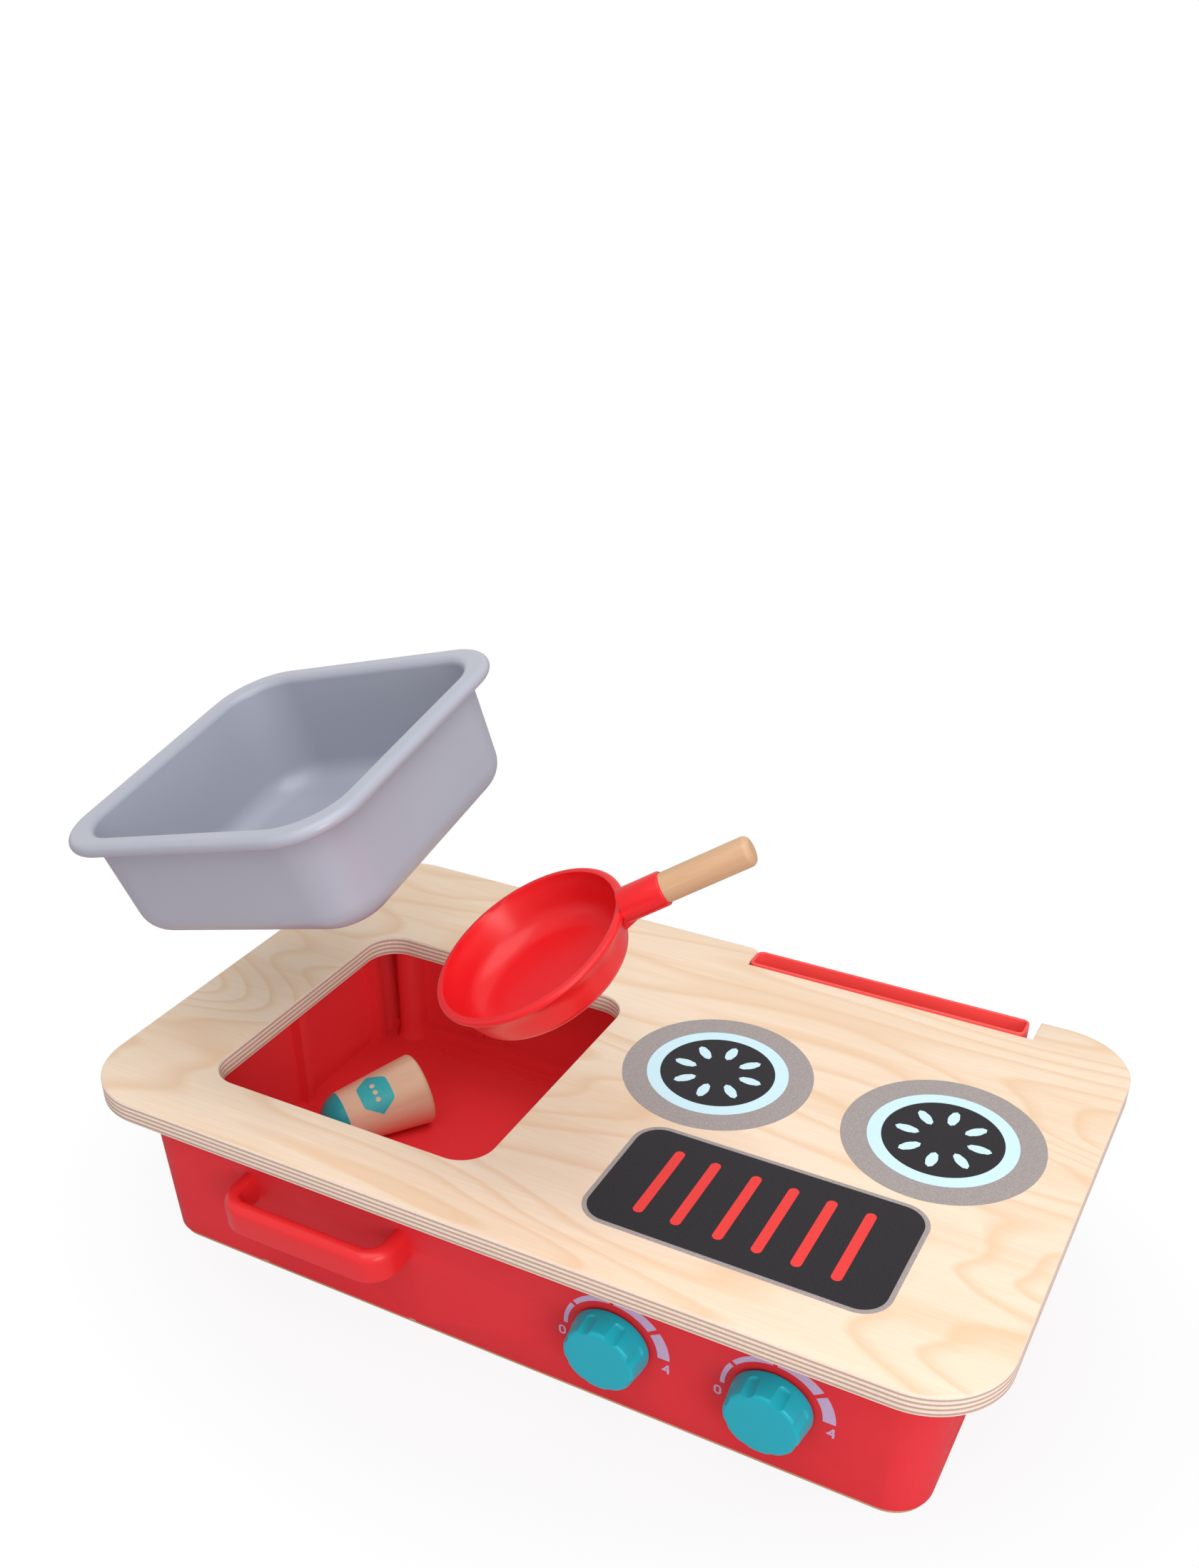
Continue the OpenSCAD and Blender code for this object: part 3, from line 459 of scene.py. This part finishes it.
worktopSize = {"width": 487, "depth": 294, "thick": 12, "front": -138.8, "bottom": 94.5, "corner": 40,
               "sinkX": -102.75, "sinkY": -15.3, "sinkSide": 166.5, "sinkCorner": 18,
               "notchLeft": 22.4, "notchRight": 188.5, "notchFront": 136.8, "lip": 4.5, "ease": 0.8}


def makeWorktop(s):
    middle, back, through = s["bottom"] + s["thick"] / 2, s["front"] + s["depth"], 3 * s["thick"]
    board = addBox((s["width"], s["depth"], s["thick"]), (0, s["front"] + s["depth"] / 2, middle))
    roundUprights(board, s["corner"], 28)
    hole = addBox((s["sinkSide"], s["sinkSide"], through), (s["sinkX"], s["sinkY"], middle))
    roundUprights(hole, s["sinkCorner"], 18)
    cutWith(board, hole)
    width, depth = s["notchRight"] - s["notchLeft"], 60
    notch = addBox((width, depth, through), (s["notchLeft"] + width / 2, s["notchFront"] + depth / 2, middle))
    cutWith(board, notch)
    lipAt = Vector((s["notchLeft"], back)) * mm
    roundEdges(board, lambda e: upright(e) and (edgeMiddle(e).xy - lipAt).length < 0.5 * mm, s["lip"], 8)
    softenEdges(board, s["ease"], 3, 50)
    smooth(board, 30)
    finishPiece(board, "plywoodTop", "kitchen", ply, "worktop")


makeWorktop(worktopSize)
for nodeName, ink in (("print_grey", inkGrey), ("print_blue", inkBlue), ("print_black", inkBlack),
                      ("print_red", inkRed), ("dial_prints", inkLilac)):
    dressNodes([nodeName], ink)
print("worktop made")


# Tub, base board and screws

def softTub(ease):
    # a clean copy of the frame's tub with softened edges
    onlySelect(nodes["tub"])
    bpy.ops.object.duplicate()
    tub = bpy.context.object
    for key in list(tub.keys()):
        del tub[key]
    matrix = tub.matrix_world.copy()
    tub.parent = None
    tub.matrix_world = matrix
    startEdit(tub, "VERT")
    bpy.ops.mesh.select_all(action="SELECT")
    bpy.ops.mesh.remove_doubles(threshold=0.01 * mm)
    bpy.ops.mesh.dissolve_limited(angle_limit=math.radians(0.4))
    bpy.ops.mesh.normals_make_consistent(inside=False)
    endEdit()
    softenEdges(tub, ease, 3, 30)
    smooth(tub, 30)
    finishPiece(tub, "redTub", "kitchen", redTub, "tub")


softTub(0.9)
dressNodes(["base_board"], solidWood("tanBoard", ("dcb894", "d2ab86", "c79d77"), 0.85, (0, 0, 0)))
dressNodes(["base_screws", "worktop_screws", "handle_screws", "tray_screws", "knob_left_washer",
            "knob_right_washer", "knob_left_screw", "knob_right_screw", "pan_handle_pin"], steel)
print("tub made")


# Places on the leaning front wall

wallPlace = {"front": -118.2, "top": 94.5, "lean": math.atan(4.6 / 91.5)}


def onFront(x, drop):
    # the place at x along the wall and a drop below its top, with z pointing out of it
    turn = Matrix.Rotation(rightAngle + wallPlace["lean"], 4, "X")
    return (Matrix.Translation(Vector((x, wallPlace["front"], wallPlace["top"])) * mm) @ turn
            @ Matrix.Translation(Vector((0, -drop, 0)) * mm))


# Front handle

handleSize = {"x": -101, "drop": 36.2, "length": 103.7, "reach": 26, "height": 17.6, "thick": 8.5,
              "corner": 16, "roundFront": 5.2, "roundBack": 2.8, "roundFoot": 1.2}


def makeHandle(s):
    # one leg's end is drawn on the wall, then grown out, round the corner and along the bar
    half, t, r = s["length"] / 2, s["thick"], s["corner"]
    bpy.ops.object.select_all(action="DESELECT")
    bpy.ops.mesh.primitive_plane_add(size=1, location=((t / 2 - half) * mm, 0, 0))
    handle = bpy.context.object
    handle.scale = (t * mm, s["height"] * mm, 1)
    placeMesh(handle)
    startEdit(handle, "VERT")
    high = 0.49 * s["height"] * mm
    for radius, test in ((s["roundFront"], lambda v: v.co.y > high and v.co.x < (0.1 - half) * mm),
                         (s["roundBack"], lambda v: v.co.y > high and v.co.x > (t - half - 0.1) * mm),
                         (s["roundFoot"], lambda v: v.co.y < -high)):
        bpy.ops.mesh.select_all(action="DESELECT")
        mesh = bmesh.from_edit_mesh(handle.data)
        for vert in mesh.verts:
            vert.select = test(vert)
        mesh.select_flush_mode()
        bpy.ops.mesh.bevel(offset=radius * mm, segments=8, affect="VERTICES")
    bpy.ops.mesh.select_mode(type="FACE")
    bpy.ops.mesh.select_all(action="SELECT")
    leg = s["reach"] - r
    grow(z=leg)
    for cornerX, way in ((r - half, {"x": s["length"] - 2 * r}), (half - r, {"z": -leg})):
        bpy.ops.mesh.spin(steps=14, angle=-rightAngle, center=(cornerX * mm, 0, leg * mm), axis=(0, 1, 0))
        grow(**way)
    endEdit()
    facesOut(handle)
    placeMesh(handle, onFront(s["x"], s["drop"]))
    smooth(handle, 35)
    finishPiece(handle, "frontHandle", "kitchen", redHandle, "front_handle")


makeHandle(handleSize)
print("handle made")


# Knobs

knobSize = {"drop": 47.8, "radius": 20, "faceRadius": 18.6, "length": 14.6, "gap": 1.0, "foot": 0.6,
            "edge": 2.0, "ease": 0.9, "hollows": 8, "hollowRadius": 6.0, "hollowDepth": 1.7,
            "hollowStart": 4.0, "hollowRound": 2.5, "front": 3.0, "core": 13.5, "shaft": 4.0,
            "shaftEnd": 2.8, "collar": 7.0, "collarGap": 0.3}


def makeKnob(s, x, name, body, node):
    # grown from its back to its face, with finger hollows, and hollow behind
    top, foot, edge = s["gap"] + s["length"], s["foot"], s["edge"]
    rings = [(s["core"], s["gap"])] + arc(s["radius"] - foot, s["gap"] + foot, foot, -90, 0, 4)
    rings += line(rings[-1], (s["faceRadius"], top - edge), 8)
    rings += arc(s["faceRadius"] - edge, top - edge, edge, 0, 90, 7)[1:]
    rings += [(s["faceRadius"] - edge - 3, top), (s["faceRadius"] - edge - 8, top)]
    knob = growRound(rings, 120)
    tilt = math.atan(s["hollowDepth"] / (s["length"] - s["hollowStart"]))
    side = Vector((s["faceRadius"] + s["hollowRadius"], 0, s["gap"] + s["hollowStart"])) * mm
    for k in range(s["hollows"]):
        cutter = addPost(s["hollowRadius"], 0, 2 * s["length"], 40)
        roundEdges(cutter, lambda e: edgeMiddle(e).z < 0.1 * mm, s["hollowRound"], 6)
        around = Matrix.Rotation((k + 0.5) * 2 * math.pi / s["hollows"], 4, "Z")
        placeMesh(cutter, around @ Matrix.Translation(side) @ Matrix.Rotation(-tilt, 4, "Y"))
        cutWith(knob, cutter)
    softenEdges(knob, s["ease"], 4, 22)
    # the hollow, collar and shaft behind
    inside = top - s["front"]
    cutWith(knob, addPost(s["core"], 0, inside, 64))
    cutWith(knob, addPost(s["collar"], s["collarGap"], inside + 0.1, 48), "UNION")
    cutWith(knob, addPost(s["shaft"], -s["shaftEnd"], 2, 48), "UNION")
    placeMesh(knob, onFront(x, s["drop"]))
    smooth(knob, 38)
    finishPiece(knob, name, body, tealKnob, node)


makeKnob(knobSize, 64, "leftKnob", "left_knob", "knob_left")
makeKnob(knobSize, 145.5, "rightKnob", "right_knob", "knob_right")
print("knobs made")


# Back tray

traySize = {"x": 103.1, "front": 137.3, "width": 160.4, "depth": 15.7, "height": 60, "top": 107.3,
            "wall": 1.6, "corner": 4.0, "tabX": 50, "tabWidth": 26, "tabThick": 2.4, "tabLength": 14,
            "tabTop": 94.5, "screwHole": 1.4, "ease": 0.6}


def makeTray(s):
    # a trough with two tabs that are screwed under the worktop
    middle = s["front"] + s["depth"] / 2
    tray = addBox((s["width"], s["depth"], s["height"]), (s["x"], middle, s["top"] - s["height"] / 2))
    roundUprights(tray, s["corner"], 8)
    startEdit(tray)
    pick(tray, "FACE", lambda f: f.normal.z > 0.9)
    bpy.ops.mesh.inset(thickness=s["wall"] * mm)
    grow(z=s["wall"] - s["height"])
    endEdit()
    for side in (-1, 1):
        tabX = s["x"] + side * s["tabX"]
        tab = addBox((s["tabWidth"], s["tabLength"] + 1, s["tabThick"]),
                     (tabX, s["front"] - (s["tabLength"] - 1) / 2, s["tabTop"] - s["tabThick"] / 2))
        cutWith(tray, tab, "UNION")
        cutWith(tray, addTube(s["screwHole"], 8, (tabX, s["front"] - s["tabLength"] / 2, s["tabTop"]), 24))
    softenEdges(tray, s["ease"], 3, 40)
    smooth(tray, 35)
    finishPiece(tray, "utensilTray", "kitchen", redTray, "back_tray")


makeTray(traySize)
print("tray made")


# Lift-out basin

basinSize = {"rim": 176.4, "rimCorner": 32.6, "side": 158.2, "corner": 28.7, "depth": 56.0, "lean": 2.8,
             "rimHeight": 7.0, "flare": 4.0, "fillet": 15.0, "wall": 2.2, "seat": (-99.55, -12.1, 106.8),
             "arm": 542.8, "away": (-0.8237, -0.5232, -0.2179), "axis": (0.523, -0.850, 0.063), "turn": 18.34}


def carryRound(span, outline):
    # an outline drawn out from the corner's axis is carried round a square, and its ends are filled
    half = span / 2
    bpy.ops.object.select_all(action="DESELECT")
    bpy.ops.mesh.primitive_plane_add(size=mm)
    piece = bpy.context.object
    startEdit(piece, "VERT")
    bpy.ops.mesh.select_all(action="SELECT")
    bpy.ops.mesh.merge(type="CENTER")
    bpy.ops.transform.translate(value=((half + outline[0][0]) * mm, -half * mm, outline[0][1] * mm))
    for (r0, z0), (r1, z1) in zip(outline, outline[1:]):
        grow(x=r1 - r0, z=z1 - z0)
    bpy.ops.mesh.select_mode(type="EDGE")
    bpy.ops.mesh.select_all(action="SELECT")
    for way, corner in (((0, 1), (1, 1)), ((-1, 0), (-1, 1)), ((0, -1), (-1, -1)), ((1, 0), (1, -1))):
        grow(x=way[0] * span, y=way[1] * span)
        bpy.ops.mesh.spin(steps=16, angle=-rightAngle, axis=(0, 0, 1),
                          center=(corner[0] * half * mm, corner[1] * half * mm, 0))
    bpy.ops.mesh.select_all(action="SELECT")
    bpy.ops.mesh.remove_doubles(threshold=samePlace)
    middle = (outline[0][1] + outline[-1][1]) / 2 * mm
    for upper in (False, True):
        pick(piece, "EDGE", lambda e: e.is_boundary and (edgeMiddle(e).z > middle) == upper)
        bpy.ops.mesh.edge_face_add()
    endEdit()
    facesOut(piece)
    return piece


def makeBasin(s):
    # the outside and the rolled rim are joined, and the inside is cut out of both
    span, rimSpan = s["side"] - 2 * s["corner"], s["rim"] - 2 * s["rimCorner"]
    bead = s["rimHeight"] / 2
    basin = carryRound(span, wallLine(s["corner"], s["lean"], s["depth"], s["fillet"]) + [(s["corner"], 1)])
    rim = carryRound(rimSpan, arc(s["rimCorner"] - bead, bead, bead, -90, 90, 14))
    cutWith(basin, rim, "UNION")
    reach, flare = s["corner"] - s["wall"], s["flare"]
    inside = wallLine(reach, s["lean"], s["depth"] - s["wall"], s["fillet"] - s["wall"])
    inside += arc(reach + flare, s["rimHeight"] - flare, flare, 180, 90, 8)
    inside += [(reach + flare, s["rimHeight"] + 2)]
    cutWith(basin, carryRound(span, inside))
    facesOut(basin)
    smooth(basin, 40)
    applyModifier(basin, "WEIGHTED_NORMAL", keep_sharp=True)
    placeMesh(basin, heldPlace(s))
    finishPiece(basin, "liftOutBasin", "basin", greyBasin, "sink_basin")


makeBasin(basinSize)
print("basin made")


# Pan with its wooden handle

panSize = {"radius": 46.4, "height": 22.0, "lean": 6.8, "fillet": 7.0, "inFillet": 12.0, "wall": 2.0,
           "lip": 1.6, "sleeve": 7.6, "sleeveDrop": 2.4, "sleeveRoot": 0.9, "sleeveEnd": 65.0,
           "sleeveRound": 1.0, "ease": 0.7, "web": 4.0, "webLength": 5.0, "webFoot": 8.5,
           "dowel": 6.6, "dowelGap": 0.25, "dowelStart": 5.0, "dowelEnd": 105.0, "dowelRound": 3.0,
           "wood": ("d6b08b", "cfa680", "c2946d"), "seat": (51.1, 28.8, 107.2), "arm": 283.3,
           "away": (-0.7822, -0.5298, -0.3269), "axis": (0.6486, -0.6075, -0.4586), "turn": 34.46,
           "heading": 40.16}


def makePan(s):
    # the outside is grown first, joined with the sleeve and its web, and then hollowed
    topRadius, lipAt = s["radius"] - s["lip"], s["height"] - s["lip"]
    axisZ = s["height"] - s["sleeveDrop"]
    place = heldPlace(s) @ Matrix.Rotation(math.radians(s["heading"]), 4, "Z")

    def wallRings(shrink, floor, fillet):
        rings = [(x, z + lipAt) for x, z in wallLine(topRadius - shrink, s["lean"], lipAt - floor, fillet)]
        return rings[:-1] + line(rings[-2], rings[-1], 4)

    def addRod(radius, start, end):
        return addTube(radius, end - start, ((start + end) / 2, 0, axisZ), 64, (0, rightAngle, 0))

    outside = wallRings(0, 0, s["fillet"])[:-1] + arc(topRadius, lipAt, s["lip"], -60, 90, 10)
    pan = growRound(outside + [(topRadius - 10, s["height"])], 128)
    sleeve = addRod(s["sleeve"], s["radius"] - s["sleeveRoot"], s["sleeveEnd"])
    roundEdges(sleeve, lambda e: edgeMiddle(e).x > (s["sleeveEnd"] - 0.1) * mm, s["sleeveRound"], 4)
    cutWith(pan, sleeve, "UNION")
    # a thin web carries the sleeve, and its foot rises towards its end
    webFrom, webTo, foot = s["radius"] - s["lean"], s["radius"] + s["webLength"], s["webFoot"]
    web = addBox((webTo - webFrom, s["web"], axisZ - foot), ((webFrom + webTo) / 2, 0, (axisZ + foot) / 2))
    startEdit(web, "EDGE")
    pick(web, "EDGE", lambda e: edgeMiddle(e).z < (foot + 0.1) * mm and edgeMiddle(e).x > (webTo - 0.1) * mm)
    bpy.ops.transform.translate(value=(0, 0, (axisZ - s["sleeve"] + 1 - foot) * mm))
    endEdit()
    cutWith(pan, web, "UNION")
    inside = wallRings(s["wall"], s["wall"], s["inFillet"])
    brim = inside[-1][0]
    cutWith(pan, growRound(inside + [(brim + 0.3, s["height"]), (brim + 0.4, s["height"] + 9)], 128))
    dowelStart = s["radius"] + s["dowelStart"]
    cutWith(pan, addRod(s["dowel"] + s["dowelGap"], dowelStart, dowelStart + 30))
    softenEdges(pan, s["ease"], 3, 40)
    placeMesh(pan, place)
    smooth(pan, 40)
    finishPiece(pan, "redPan", "pan", redPan, "pan_bowl")
    dowel = addRod(s["dowel"], dowelStart, s["dowelEnd"])
    roundEdges(dowel, lambda e: edgeMiddle(e).x > (s["dowelEnd"] - 0.1) * mm, s["dowelRound"], 8)
    placeMesh(dowel, place)
    smooth(dowel, 40)
    turnBack = place.to_3x3().inverted().to_euler()
    panWood = solidWood("panDowelWood", s["wood"], 0.84, turnBack, (0.03, 0.02, 0.01))
    finishPiece(dowel, "panDowel", "pan", panWood, "pan_handle")


makePan(panSize)
print("pan made")


# Shaker lying in the tub

shakerSize = {"base": 21.9, "neck": 16.5, "dome": 16.9, "length": 51, "edge": 3.0, "turn": 236.6,
              "x": -140.8, "y": 35.4, "floor": 6.0, "wood": ("ffe2c3", "fad8b6", "f1c8a0"),
              "badge": 9.6, "badgeAt": 31.0, "badgeTurn": 152.0, "badgeSlant": 0.66, "badgeRound": 2.0,
              "badgeTones": ("30c4ca", "3fcacf"), "dot": 1.5, "dotStep": 4.8, "printEdge": 0.1}


def shakerPlace(s):
    # the tapered side lies on the tub's floor
    lean = math.atan((s["base"] - s["neck"]) / s["length"])
    return (Matrix.Translation(Vector((s["x"], s["y"], s["floor"])) * mm)
            @ Matrix.Rotation(math.radians(s["turn"]), 4, "Z")
            @ Matrix.Rotation(rightAngle + lean, 4, "Y")
            @ Matrix.Translation(Vector((-s["base"], 0, 0)) * mm))


def addBadge(material, place, s):
    # a teal six-sided print with three bare dots, wrapped round the side
    tree = material.node_tree
    shader = tree.nodes["Principled BSDF"]
    local = addNode(tree, "ShaderNodeMapping", {"vector_type": "TEXTURE"}, Location=place.translation,
                    Rotation=(place @ Matrix.Rotation(math.radians(s["badgeTurn"]), 4, "Z")).to_euler())
    tree.links.new(objectPlace(tree), local.inputs["Vector"])
    part = addNode(tree, "ShaderNodeSeparateXYZ")
    tree.links.new(local.outputs["Vector"], part.inputs[0])
    around = calculate(tree, "MULTIPLY", calculate(tree, "ARCTAN2", part.outputs["Y"], part.outputs["X"]),
                       (s["base"] + s["neck"]) / 2 * mm)
    along = calculate(tree, "SUBTRACT", part.outputs["Z"], s["badgeAt"] * mm)
    flat = calculate(tree, "ABSOLUTE", along)
    slant = calculate(tree, "ADD", calculate(tree, "MULTIPLY", flat, 0.5),
                      calculate(tree, "MULTIPLY", calculate(tree, "ABSOLUTE", around), s["badgeSlant"]))
    edge = calculate(tree, "SMOOTH_MAX", flat, slant, s["badgeRound"] * mm)
    fade = s["printEdge"]
    badge = mapRange(tree, edge, (s["badge"] - fade) * mm, (s["badge"] + fade) * mm, 1, 0)
    step = calculate(tree, "WRAP", around, s["dotStep"] / 2 * mm, -s["dotStep"] / 2 * mm)
    far = calculate(tree, "SQRT", calculate(tree, "ADD", calculate(tree, "POWER", step, 2),
                                            calculate(tree, "POWER", along, 2)))
    near = calculate(tree, "LESS_THAN", calculate(tree, "ABSOLUTE", around), 1.5 * s["dotStep"] * mm)
    dots = calculate(tree, "MULTIPLY", near,
                     mapRange(tree, far, (s["dot"] - fade) * mm, (s["dot"] + fade) * mm, 1, 0))
    wood = shader.inputs["Base Color"].links[0].from_socket
    shown = calculate(tree, "MULTIPLY", badge, calculate(tree, "SUBTRACT", 1, dots))
    first, second = (tint(code) for code in s["badgeTones"])
    speckle = ramp(tree, noise(tree, objectPlace(tree), 700, 2), [(0.35, first), (0.7, second)])
    tree.links.new(mixColour(tree, shown, wood, speckle), shader.inputs["Base Color"])


def makeShaker(s):
    # turned from the base up, with a painted dome
    edge = s["edge"]
    rings = arc(s["base"] - edge, edge, edge, -90, 0, 8)
    rings += line(rings[-1], (s["neck"], s["length"]), 6)
    domeAt = s["length"] - math.sqrt(s["dome"] ** 2 - s["neck"] ** 2)
    first = math.degrees(math.asin((s["length"] - domeAt) / s["dome"]))
    rings += arc(0, domeAt, s["dome"], first, 86, 16)[1:]
    shaker = growRound(rings, 96)
    place = shakerPlace(s)
    turnBack = (Matrix.Rotation(rightAngle, 3, "Y") @ place.to_3x3().inverted()).to_euler()
    wood = solidWood("shakerMaple", s["wood"], 0.9, turnBack, (0.01, 0.03, 0.02))
    addBadge(wood, place, s)
    shaker.data.materials.append(wood)
    shaker.data.materials.append(tealPaint)
    for face in shaker.data.polygons:
        face.material_index = 1 if face.center.z > s["length"] * mm else 0
    placeMesh(shaker, place)
    smooth(shaker, 40)
    finishPiece(shaker, "woodenShaker", "salt_shaker", None, "shaker")


makeShaker(shakerSize)
print("shaker made")


# Floor, light and camera

studio = {"floor": "c3b6bc", "floorSize": 40, "floorGlow": 0.9, "glowFrom": 0.24, "glowTo": 0.35,
          "glowShape": (1, 1.4, 1), "worldStrength": 0.54,
          "keyPlace": (0.34, -0.58, 1.8), "keySize": 2.0, "keyPower": 25.0,
          "fillPlace": (1.3, -1.0, 0.6), "fillSize": 0.7, "fillPower": 9.5, "aim": (0, 0, 0.1)}


def makeStudio(s):
    bpy.ops.object.select_all(action="DESELECT")
    bpy.ops.mesh.primitive_plane_add(size=s["floorSize"], location=(0, 0, -0.0002))
    floor = bpy.context.object
    placeMesh(floor)
    floor.name = "studioFloor"
    material, tree, shader = newMaterial("studioFloorPaint")
    shader.inputs["Base Color"].default_value = tint(s["floor"])
    shader.inputs["Roughness"].default_value = 0.6
    glow = addNode(tree, "ShaderNodeEmission", Color=(1, 1, 1, 1), Strength=1.0)
    path = addNode(tree, "ShaderNodeLightPath")
    blend = addNode(tree, "ShaderNodeMixShader")
    # the far floor fades to plain white, and the near one keeps the shadow
    away = addNode(tree, "ShaderNodeVectorMath", {"operation": "LENGTH"})
    tree.links.new(objectPlace(tree, s["glowShape"]), away.inputs[0])
    fade = mapRange(tree, away.outputs["Value"], s["glowFrom"], s["glowTo"], s["floorGlow"], 1)
    tree.links.new(calculate(tree, "MULTIPLY", path.outputs["Is Camera Ray"], fade), blend.inputs[0])
    tree.links.new(shader.outputs[0], blend.inputs[1])
    tree.links.new(glow.outputs[0], blend.inputs[2])
    tree.links.new(blend.outputs[0], tree.nodes["Material Output"].inputs["Surface"])
    floor.data.materials.append(material)
    world = bpy.data.worlds.new("studioWorld")
    bpy.context.scene.world = world
    world.use_nodes = True
    tree = world.node_tree
    background = tree.nodes["Background"]
    background.inputs["Color"].default_value = (1, 1, 1, 1)
    path = addNode(tree, "ShaderNodeLightPath")
    seen = calculate(tree, "MAXIMUM", path.outputs["Is Camera Ray"], path.outputs["Is Glossy Ray"])
    tree.links.new(mapRange(tree, seen, 0, 1, s["worldStrength"], 1.0), background.inputs["Strength"])
    for name in ("key", "fill"):
        lamp = bpy.data.objects.new(name + "Light", bpy.data.lights.new(name + "Light", "AREA"))
        bpy.context.scene.collection.objects.link(lamp)
        lamp.data.size = s[name + "Size"]
        lamp.data.energy = s[name + "Power"]
        lamp.location = s[name + "Place"]
        lamp.rotation_mode = "QUATERNION"
        lamp.rotation_quaternion = (Vector(s["aim"]) - Vector(s[name + "Place"])).to_track_quat("-Z", "Y")


photoView = {"place": (0.29803, -0.58182, 0.57389), "right": (0.87814, 0.47835, -0.00655),
             "down": (0.25860, -0.48615, -0.83474), "ahead": (-0.40248, 0.73132, -0.55061),
             "lens": 35.23, "sensor": 36, "shiftX": 0.0201, "shiftY": 0.148, "near": 0.01, "far": 30}


def makeCamera(s):
    camera = bpy.data.objects.new("photoCamera", bpy.data.cameras.new("photoCamera"))
    bpy.context.scene.collection.objects.link(camera)
    turn = Matrix((Vector(s["right"]), -Vector(s["down"]), -Vector(s["ahead"]))).transposed()
    camera.matrix_world = Matrix.Translation(s["place"]) @ turn.to_4x4()
    camera.data.lens, camera.data.sensor_width = s["lens"], s["sensor"]
    camera.data.shift_x, camera.data.shift_y = s["shiftX"], s["shiftY"]
    camera.data.clip_start, camera.data.clip_end = s["near"], s["far"]
    bpy.context.scene.camera = camera


makeStudio(studio)
makeCamera(photoView)
bpy.context.scene.view_settings.view_transform = "Standard"
print("studio made")
